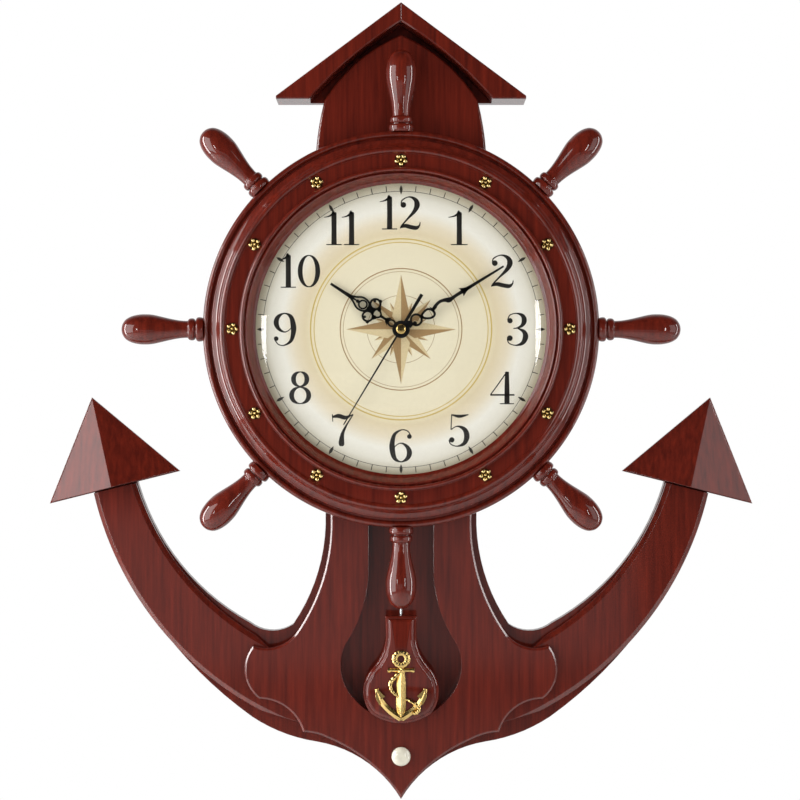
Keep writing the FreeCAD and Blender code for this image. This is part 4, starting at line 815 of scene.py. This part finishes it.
def hour_hand_parts():
    """Hub, drop, wings, window, three rings inside a leaf and a plain pointer."""
    leaf = smooth_loop([(0, 52.0), (2.3, 47.2), (4.9, 42.6), (5.2, 38.2), (3.6, 34.6), (0, 33.4),
                        (-3.6, 34.6), (-5.2, 38.2), (-4.9, 42.6), (-2.3, 47.2)], 6)
    yield "loop", ring_run(4.95), 3.0
    yield "loop", smooth_loop([(0, 5.6), (2.5, 8.8), (1.9, 11.6), (0, 12.8), (-1.9, 11.6),
                               (-2.5, 8.8)], 6), 1.6
    yield "plate", [(-4.2, 11.6), (-2.4, 14.6), (0, 16.8), (2.4, 14.6), (4.2, 11.6), (1.6, 12.6),
                    (-1.6, 12.6)], 0
    yield "band", [(0, 13.6), (0, 17.0), (0, 21.6)], [3.0, 2.0, 2.6]
    yield "loop", smooth_loop([(0, 20.6), (2.9, 23.0), (3.0, 26.6), (0, 27.9), (-3.0, 26.6),
                               (-2.9, 23.0)], 6), 1.6
    yield "plate", [(-2.4, 27.0), (2.4, 27.0), (1.6, 34.4), (-1.6, 34.4)], 0
    yield "plate", circle(1.7, 3.8, 24.6), 0
    yield "plate", circle(1.7, -3.8, 24.6), 0
    for side in (-1, 1):
        yield "loop", ring_run(4.3, side * 6.1, 30.0), 1.8
        yield "plate", circle(1.5, side * 10.3, 27.6), 0
        yield "plate", circle(1.2, side * 8.0, 31.8), 0
        yield "plate", circle(1.3, side * 5.2, 25.2), 0
    yield "loop", leaf, 1.7
    yield "loop", ring_run(3.5, 0, 38.8), 1.5
    yield "plate", circle(1.5, 0, 44.0), 0
    yield "band", [(0, 43.0), (0, 46.0), (0, 52.0)], [1.0, 1.4, 2.4]
    yield "band", [(0, 50.4), (0, 60.0), (0, 71.5)], [3.4, 2.7, 2.1]


def minute_hand_parts():
    """Hub, ring, drop-shaped loop, barb, bowed stem, arrow barb and a long thin pointer."""
    stem = smooth_run([(0, 32.4, 3.0), (-1.8, 36.0, 2.8), (-2.7, 40.5, 2.6), (-1.7, 44.6, 3.1),
                       (0, 47.6, 4.5), (0.3, 50.6, 3.3), (0, 55.0, 2.8), (0, 62.0, 3.2)], 8)
    drop = [(0, 20.4), (2.9, 22.6), (4.9, 26.0), (5.2, 29.4), (3.4, 31.6), (0, 31.0), (-2.6, 28.4),
            (-2.2, 24.0)]
    yield "loop", ring_run(4.95), 3.0
    yield "plate", [(-3.6, 7.4), (0, 5.4), (3.6, 7.4), (2.4, 10.4), (-2.4, 10.4)], 0
    yield "loop", ring_run(4.6, 0, 15.2), 1.9
    yield "plate", circle(1.9, 1.9, 12.6), 0
    yield "loop", smooth_loop(drop, 6), 1.9
    yield "plate", circle(1.6, 0.4, 20.6), 0
    yield "plate", [(-3.9, 30.4), (-1.6, 32.0), (0, 36.4), (1.6, 32.0), (3.9, 30.4), (0, 30.8)], 0
    yield "band", stem[:, :2], stem[:, 2]
    yield "plate", [(-4.1, 60.0), (-2.1, 64.0), (0, 72.5), (2.1, 64.0), (4.1, 60.0), (0, 61.4)], 0
    yield "band", [(0, 61.0), (0, 72.0), (0, 102.6)], [3.3, 2.7, 1.6]


def second_hand_parts():
    """A thin pointer with a plain heavier tail."""
    yield "loop", ring_run(2.7), 1.6
    yield "band", [(0, 2.4), (0, 40.0), (0, 95.0)], [1.6, 1.4, 1.0]
    yield "band", [(0, -2.4), (0, -18.0), (0, -34.5)], [2.7, 2.7, 2.9]


# each hand's body, its lines and the thickness of its sheet
HANDS = {
    "hour_hand": ("hour_train", hour_hand_parts, 0.8),
    "minute_hand": ("minute_train", minute_hand_parts, 0.8),
    "second_hand": ("second_train", second_hand_parts, 0.4),
}
# radii of the cap and their heights before its back
CAP_SECTION = [(0.0, 0.0), (4.2, 0.0), (4.2, 0.7), (3.9, 1.1), (3.0, 1.4), (1.5, 1.58), (0.0, 1.6)]


class CLOCK_OT_hands(bpy.types.Operator):
    """Pierced hands: bands, loops and small plates of black enamelled metal."""
    bl_idname = "clock.hands"
    bl_label = "Hands"

    def execute(self, context):
        sizes = context.scene.clock_dial
        turns = {"hour_hand": sizes.hour_turn, "minute_hand": sizes.minute_turn,
                 "second_hand": sizes.second_turn}
        # stove enamel: near black, with a gloss that shows only at a slant
        finish = moulded("black_enamel", linear("#0c0b0b"), 0.28, 2.0, 0.01, 0.8)
        for name, (body, parts, thick) in HANDS.items():
            back = -box_mm(name, 1, DEPTH)
            shells = [turned_round(hand_shell(kind, run, width, back, back + thick), turns[name])
                      for kind, run, width in parts()]
            make_piece(f"pierced_{name}", shells, finish, body, (name,))
        cap = revolved(np.array(CAP_SECTION) + (0.0, CAP_BACK), steps=SMALL_STEPS)
        brass = worn_metal("spun_brass", context.scene.clock_colours.brass, 0.2, 1.5)
        make_piece("centre_cap", [cap], brass, "second_train", ("second_hand_cap",))
        return {"FINISHED"}


# the knob's section as shares of its radius, across and above the plate
KNOB_SHARES = [(0.0, 0.0), (0.68, 0.0), (0.70, 0.08), (0.86, 0.18), (0.98, 0.38), (1.0, 0.56),
               (0.94, 0.74), (0.76, 0.94), (0.50, 1.05), (0.24, 1.09), (0.0, 1.097)]


class CLOCK_OT_porcelain_knob(bpy.types.Operator):
    """Glazed knob: a smooth mushroom section carried round its own axis."""
    bl_idname = "clock.porcelain_knob"
    bl_label = "Porcelain knob"

    def execute(self, context):
        section = smooth_run(KNOB_SHARES, 5) * KNOB_RADIUS
        section[:, 0] = np.clip(section[:, 0], 0, KNOB_RADIUS)
        section[:, 1] = np.maximum(section[:, 1], 0) + PLATE_FRONT
        # porcelain: creamy white under a clear wet-looking glaze
        finish = moulded("glazed_porcelain", linear("#d2cdbb"), 0.12, 6.0, 0.01, 1.0)
        knob = revolved(section, KNOB_Z, SMALL_STEPS)
        make_piece("glazed_knob", [knob], finish, "case", ("porcelain_knob",), 60.0)
        return {"FINISHED"}


BOB_HALF, BOB_HEIGHT = 32.4, 92.3
# how far each line of the bob is drawn in, and how far it stands before the back
BOB_STEPS = [(0.25, 0.0), (0.0, 0.3), (0.0, 4.9), (0.5, 5.9), (1.6, 6.3), (2.4, 6.35), (2.6, 7.0),
             (3.2, 8.1), (4.4, 8.75), (5.6, 8.95)]


def bob_outline():
    """The bell: a straight neck, then arcs of circles for a hollow shoulder, a round cheek and
    a bowed foot."""
    def at(across, down):
        return across * BOB_HALF, BOB_TOP - down * BOB_HEIGHT

    neck = np.linspace(at(-0.42, 0.0), at(-0.402, 0.165), 8, endpoint=False)
    shoulder = arc_through(at(-0.402, 0.165), at(-0.475, 0.325), at(-0.77, 0.495))
    cheek = arc_through(at(-0.77, 0.495), at(-1.0, 0.68), at(-0.79, 0.913))
    foot = arc_through(at(-0.79, 0.913), at(0.0, 1.0), at(0.79, 0.913), 48)
    left = np.vstack([neck, shoulder, cheek, foot[:24]])
    return np.vstack([left, foot[24:25], (left * (-1, 1))[::-1]])


def bob_ring(drawn_in, rise):
    """The bell's outline moved inwards square to itself, and cut level below its top."""
    outline = bob_outline()
    ahead = np.gradient(outline, axis=0)
    ahead /= np.linalg.norm(ahead, axis=1, keepdims=True)
    inward = outline + drawn_in * np.stack([-ahead[:, 1], ahead[:, 0]], axis=-1)
    inward[:, 1] = np.minimum(inward[:, 1], BOB_TOP - drawn_in)
    return lift(inward, BOB_BACK + rise)


class CLOCK_OT_pendulum_bob(bpy.types.Operator):
    """Bell-shaped bob: its outline drawn in step by step to make a double moulded edge."""
    bl_idname = "clock.pendulum_bob"
    bl_label = "Pendulum bob"

    def execute(self, context):
        rings = [bob_ring(drawn_in, rise) for drawn_in, rise in BOB_STEPS]
        middle = np.tile((0.0, BOB_TOP - 0.66 * BOB_HEIGHT), (len(rings[0]), 1))
        rings = [lift(middle, BOB_BACK)] + rings + [lift(middle, BOB_BACK + BOB_STEPS[-1][1])]
        finish = stained_mahogany("bob_mahogany", context.scene.clock_colours, 0.06, 0.2)
        make_piece("moulded_bob", [grid(np.stack(rings), False, True)], finish, "pendulum",
                   ("pendulum_bob",), 30.0)
        return {"FINISHED"}


# the anchor's lines: across and down as shares of its half width and its height
ROPE_LINE = [(0.03, 0.27), (-0.22, 0.36), (-0.40, 0.45), (-0.38, 0.54), (-0.24, 0.61), (0.0, 0.665),
             (0.27, 0.70), (0.53, 0.755), (0.69, 0.82), (0.62, 0.88), (0.47, 0.895)]
ARM_LINE = [(0.0, 0.965), (-0.30, 0.895), (-0.62, 0.79), (-0.80, 0.69), (-0.90, 0.60), (-0.94, 0.54)]
PALM_LINE = [(-0.95, 0.525), (-0.62, 0.645), (-0.76, 0.69), (-0.83, 0.775), (-0.985, 0.66)]
STOCK_LINE = [(-0.51, 0.267), (0.0, 0.267), (0.51, 0.267)]
SHANK_LINE = [(0.02, 0.24), (0.0, 0.45), (0.0, 0.70), (0.0, 0.955)]
FOOT_LINE = [(-0.22, 0.94), (0.0, 0.89), (0.22, 0.94), (0.0, 1.0)]
RING_DOWN, RING_RADIUS, RING_LAYS = 0.105, 5.3, 7
EMBLEM_MIDDLE, EMBLEM_SEAT = EMBLEM_BACK + 1.7, EMBLEM_BACK + 0.2


def on_emblem(shares):
    """Shares of the anchor's half width and height, as places across and up."""
    return np.asarray(shares, float) * (EMBLEM_HALF, -EMBLEM_HEIGHT) + (0.0, EMBLEM_TOP)


def emblem_line(shares, forward=0.0):
    """A smooth line on the anchor, in the middle of its thickness or before it."""
    return lift(on_emblem(smooth_run(shares, 8)), EMBLEM_MIDDLE + forward)


def roped_ring():
    """The ring: a tube round a circle, whose radius swells with the sine of the turn."""
    turn = np.linspace(0, math.tau, 73)
    hoop = np.stack([np.sin(turn), 0 * turn, np.cos(turn)], axis=-1)
    middle = lift(on_emblem([(0.0, RING_DOWN)]), EMBLEM_MIDDLE)
    return ring_tube(middle + RING_RADIUS * hoop, 2.45 + 0.4 * np.abs(np.sin(RING_LAYS * turn)), 14, 0.62)


def rope_shell():
    """The rope: a thin tube that passes over the arm, with a ripple for its lay."""
    rope = emblem_line(ROPE_LINE, 0.5)
    place, end = np.arange(len(rope)), len(rope)
    rope[:, 1] += np.interp(place, [0, 36, 40, 46, 52, end], [0, 0, 1.6, 1.6, 0, -0.8])
    strand = np.interp(place, [0, 16, 36, end], [1.5, 2.1, 1.5, 1.6])
    return tube(rope, strand + 0.22 * np.sin(place * 1.4), 10)


class CLOCK_OT_bob_emblem(bpy.types.Operator):
    """Cast anchor: a roped ring, a stock, a ridged shank, bent arms with palms, and a rope."""
    bl_idname = "clock.bob_emblem"
    bl_label = "Bob emblem"

    def execute(self, context):
        stock, shank = emblem_line(STOCK_LINE), emblem_line(SHANK_LINE)
        knobs = 1.45 + 0.75 * (np.abs(np.linspace(-1, 1, len(stock))) > 0.86)
        girth = np.interp(np.linspace(0, 1, len(shank)), [0, 0.35, 0.8, 1], [2.2, 4.1, 4.1, 2.6])
        shells = [roped_ring(), tube(stock, knobs, 12, 0.8), tube(shank, girth, 4, 0.75)]
        for side in (-1, 1):
            arm = emblem_line(ARM_LINE) * (-side, 1, 1)
            palm = on_emblem(PALM_LINE) * (-side, 1)
            shells += [tube(arm, np.linspace(3.0, 1.5, len(arm)), 4, 0.8),
                       plate(palm, EMBLEM_SEAT, EMBLEM_SEAT + 2.7)]
        shells += [plate(on_emblem(FOOT_LINE), EMBLEM_SEAT, EMBLEM_SEAT + 3.0), rope_shell()]
        finish = worn_metal("cast_brass", context.scene.clock_colours.brass, 0.2, 1.2, 0.06)
        make_piece("anchor_emblem", shells, finish, "pendulum", ("bob_emblem",), 45.0)
        return {"FINISHED"}


class CLOCK_OT_wood_boards(bpy.types.Operator):
    """Stained and lacquered finish on the boards, the panel, the roof and the points."""
    bl_idname = "clock.wood_boards"
    bl_label = "Wood boards"

    def execute(self, context):
        colours = context.scene.clock_colours
        boards = ("back_board", "shank_panel", "centre_plate", "arm_board_left", "arm_board_right",
                  "roof_left", "roof_right", "fluke_left", "fluke_right", "bob_block")
        dress(boards, stained_mahogany("lacquered_mahogany", colours))
        return {"FINISHED"}


class CLOCK_OT_movement(bpy.types.Operator):
    """Finishes of the movement behind the dial: plastics, metals, rubber and board."""
    bl_idname = "clock.movement"
    bl_label = "Movement"

    def execute(self, context):
        # styrene case: black, moulded with a fine spark texture
        dress(("movement_case", "movement_lid", "pendulum_hanger"),
              moulded("moulded_styrene", linear("#1b1c1e"), 0.46, 0.5, 0.04))
        # acetal gears: off-white, smooth and slightly waxy
        dress(("minute_arbor", "idler_wheel", "hour_wheel", "second_arbor", "set_knob"),
              moulded("moulded_acetal", linear("#e4e0d4"), 0.34, 1.0, 0.02))
        # printed shrink film round the cell, plain and without words
        dress(("battery",), moulded("battery_film", linear("#3c4a52"), 0.30, 2.0, 0.01, 0.4))
        # glass-fibre board under green solder mask
        dress(("circuit_board",), moulded("solder_mask", linear("#1f5a38"), 0.32, 0.8, 0.03, 0.3))
        # lacquered windings: warm copper with a soft shine
        dress(("drive_coil", "pendulum_coil"), worn_metal("enamelled_copper", linear("#b5683a"), 0.3, 0.6))
        # bright zinc plate: cool grey, slightly cloudy
        dress(("battery_contacts", "hanger_plate", "hanger_screws", "dial_screws", "rim_screws",
               "porcelain_knob_stud", "pendulum_magnet"),
              worn_metal("zinc_plated_steel", linear("#b9bcbd"), 0.34, 1.5))
        # wire and pin drawn smooth: bright and sharp
        dress(("pendulum_rod", "pendulum_pivot"), worn_metal("drawn_steel", linear("#cfd1d2"), 0.2, 1.0))
        dress(("bush_nut",), worn_metal("turned_brass", context.scene.clock_colours.brass, 0.25, 1.0))
        # moulded washer: dead matt black
        dress(("bush_washer",), moulded("black_rubber", linear("#151515"), 0.7, 0.6, 0.05))
        # fibreboard behind the dial and under the glass: pale brown, fuzzy
        dress(("dial_board", "dial_standoffs", "dial_spacer_ring"),
              moulded("fibreboard", linear("#a98c63"), 0.8, 0.6, 0.08))
        return {"FINISHED"}


STAGE_FLOOR, FLOOR_HALF, FLOOR_BACK = -1.15, 4.0, 1.2
CAMERA_PLACE, LENS, SENSOR = (-0.0009, -1.752, -0.2754), 90.0, 36.0
LIGHT_AIM = (0.0, 0.0, -0.3)
WHITE = (1.0, 1.0, 1.0, 1.0)
# where each soft light stands, its width and height in metres, and its power in watts
LIGHTS = {
    "key_light": ((-1.5, -0.95, -0.12), (1.1, 1.7), 23.0),
    "fill_light": ((1.5, -0.95, -0.12), (0.9, 1.5), 6.0),
    "low_light": ((-0.45, -2.2, -0.65), (1.9, 0.32), 0.8),
    "left_edge": ((-1.65, -0.10, -0.25), (0.30, 1.7), 30.0),
    "right_edge": ((1.65, -0.10, -0.25), (0.22, 1.7), 12.0),
    "left_strip": ((-1.06, -1.9, -0.24), (0.10, 0.40), 2.6),
    "right_strip": ((1.06, -1.9, -0.27), (0.10, 0.70), 4.0),
}
# broad lights that shade the clock without showing in its lacquer
SHADING = {
    "top_shading": ((0.1, -0.95, 1.15), (1.3, 0.7), 8.5),
    "low_shading": ((-0.35, -1.0, -0.85), (1.0, 0.5), 2.0),
}


def soft_light(name, place, size, power):
    """A soft panel of light that faces the middle of the clock."""
    lamp = bpy.data.lights.new(name, "AREA")
    lamp.shape = "RECTANGLE"
    lamp.size, lamp.size_y = size
    lamp.energy = power
    panel = bpy.data.objects.new(name, lamp)
    panel.location = place
    panel.rotation_euler = (Vector(LIGHT_AIM) - Vector(place)).to_track_quat("-Z", "Y").to_euler()
    bpy.context.scene.collection.objects.link(panel)
    return panel


def studio_world():
    """A room that is dark behind the camera and pale behind the clock, like a studio sweep."""
    world = bpy.data.worlds.new("studio")
    world.use_nodes = True
    tree = world.node_tree
    tree.nodes.clear()
    way = add(tree, "ShaderNodeTexCoord").outputs["Generated"]
    depth = add(tree, "ShaderNodeSeparateXYZ", {"Vector": way})
    sweep = add(tree, "ShaderNodeValToRGB", {"Fac": depth.outputs["Y"]}, stops=[
        (0.0, linear("#26282a")), (0.25, linear("#6b6d70")), (0.7, linear("#f4f4f4"))])
    room = add(tree, "ShaderNodeBackground", {"Color": sweep.outputs["Color"], "Strength": 0.8})
    white = add(tree, "ShaderNodeBackground", {"Color": WHITE, "Strength": 1.0})
    seen = add(tree, "ShaderNodeLightPath")
    soft = add(tree, "ShaderNodeBackground", {"Color": WHITE, "Strength": 0.24})
    matte = add(tree, "ShaderNodeMixShader", {
        0: seen.outputs["Is Diffuse Ray"], 1: room.outputs[0], 2: soft.outputs[0]})
    both = add(tree, "ShaderNodeMixShader", {
        0: seen.outputs["Is Camera Ray"], 1: matte.outputs[0], 2: white.outputs[0]})
    add(tree, "ShaderNodeOutputWorld", {"Surface": both.outputs[0]})
    return world


class CLOCK_OT_stage(bpy.types.Operator):
    """Plain pale floor, soft light and the camera at the photograph's angle."""
    bl_idname = "clock.stage"
    bl_label = "Stage"

    def execute(self, context):
        scene = context.scene
        scene.view_settings.view_transform = "Standard"
        mesh = bpy.data.meshes.new("floor")
        corners = [(-FLOOR_HALF, -FLOOR_HALF), (FLOOR_HALF, -FLOOR_HALF), (FLOOR_HALF, FLOOR_BACK),
                   (-FLOOR_HALF, FLOOR_BACK)]
        mesh.from_pydata([(*corner, STAGE_FLOOR) for corner in corners], [], [(0, 1, 2, 3)])
        floor = bpy.data.objects.new("floor", mesh)
        # matt studio paint, with a mottle too faint to draw the eye
        mesh.materials.append(moulded("pale_floor", linear("#f4f3f1"), 0.7, 4.0, 0.05))
        scene.collection.objects.link(floor)
        for name, (place, size, power) in LIGHTS.items():
            soft_light(name, place, size, power)
        for name, (place, size, power) in SHADING.items():
            soft_light(name, place, size, power).visible_glossy = False
        scene.world = studio_world()
        lens = bpy.data.cameras.new("camera")
        lens.lens, lens.sensor_width = LENS, SENSOR
        camera = bpy.data.objects.new("camera", lens)
        camera.location = CAMERA_PLACE
        camera.rotation_euler = (math.pi / 2, 0.0, 0.0)
        scene.collection.objects.link(camera)
        scene.camera = camera
        return {"FINISHED"}


OPERATORS = (
    CLOCK_OT_wood_boards, CLOCK_OT_wheel_rim, CLOCK_OT_wheel_handles, CLOCK_OT_rim_studs,
    CLOCK_OT_dial_face, CLOCK_OT_dial_numerals, CLOCK_OT_minute_track, CLOCK_OT_dial_rings,
    CLOCK_OT_compass_rose, CLOCK_OT_dial_glass, CLOCK_OT_hands, CLOCK_OT_porcelain_knob,
    CLOCK_OT_pendulum_bob, CLOCK_OT_bob_emblem, CLOCK_OT_movement, CLOCK_OT_stage,
)


class CLOCK_PT_sidebar(bpy.types.Panel):
    """Lists the steps that finish the clock, and its sizes and colours."""
    bl_idname = "CLOCK_PT_sidebar"
    bl_label = "Anchor wall clock"
    bl_space_type = "VIEW_3D"
    bl_region_type = "UI"
    bl_category = "Clock"

    def draw(self, context):
        for group in (context.scene.clock_wheel, context.scene.clock_dial, context.scene.clock_colours):
            box = self.layout.box()
            for name in group.bl_rna.properties.keys():
                if name not in {"rna_type", "name"}:
                    box.prop(group, name)
        for operator in OPERATORS:
            self.layout.operator(operator.bl_idname)


GROUPS = {"clock_wheel": WheelSizes, "clock_dial": DialSizes, "clock_colours": ClockColours}


def register():
    """Adds the operators, the panel and the groups of settings."""
    for group in (*GROUPS.values(), *OPERATORS, CLOCK_PT_sidebar):
        bpy.utils.register_class(group)
    for name, group in GROUPS.items():
        setattr(bpy.types.Scene, name, bpy.props.PointerProperty(type=group))


def unregister():
    """Takes them away again."""
    for name in GROUPS:
        delattr(bpy.types.Scene, name)
    for group in reversed((*GROUPS.values(), *OPERATORS, CLOCK_PT_sidebar)):
        bpy.utils.unregister_class(group)


def main():
    """Builds every piece in order."""
    register()
    for operator in OPERATORS:
        space, name = operator.bl_idname.split(".")
        getattr(getattr(bpy.ops, space), name)()


if __name__ == "__main__":
    main()
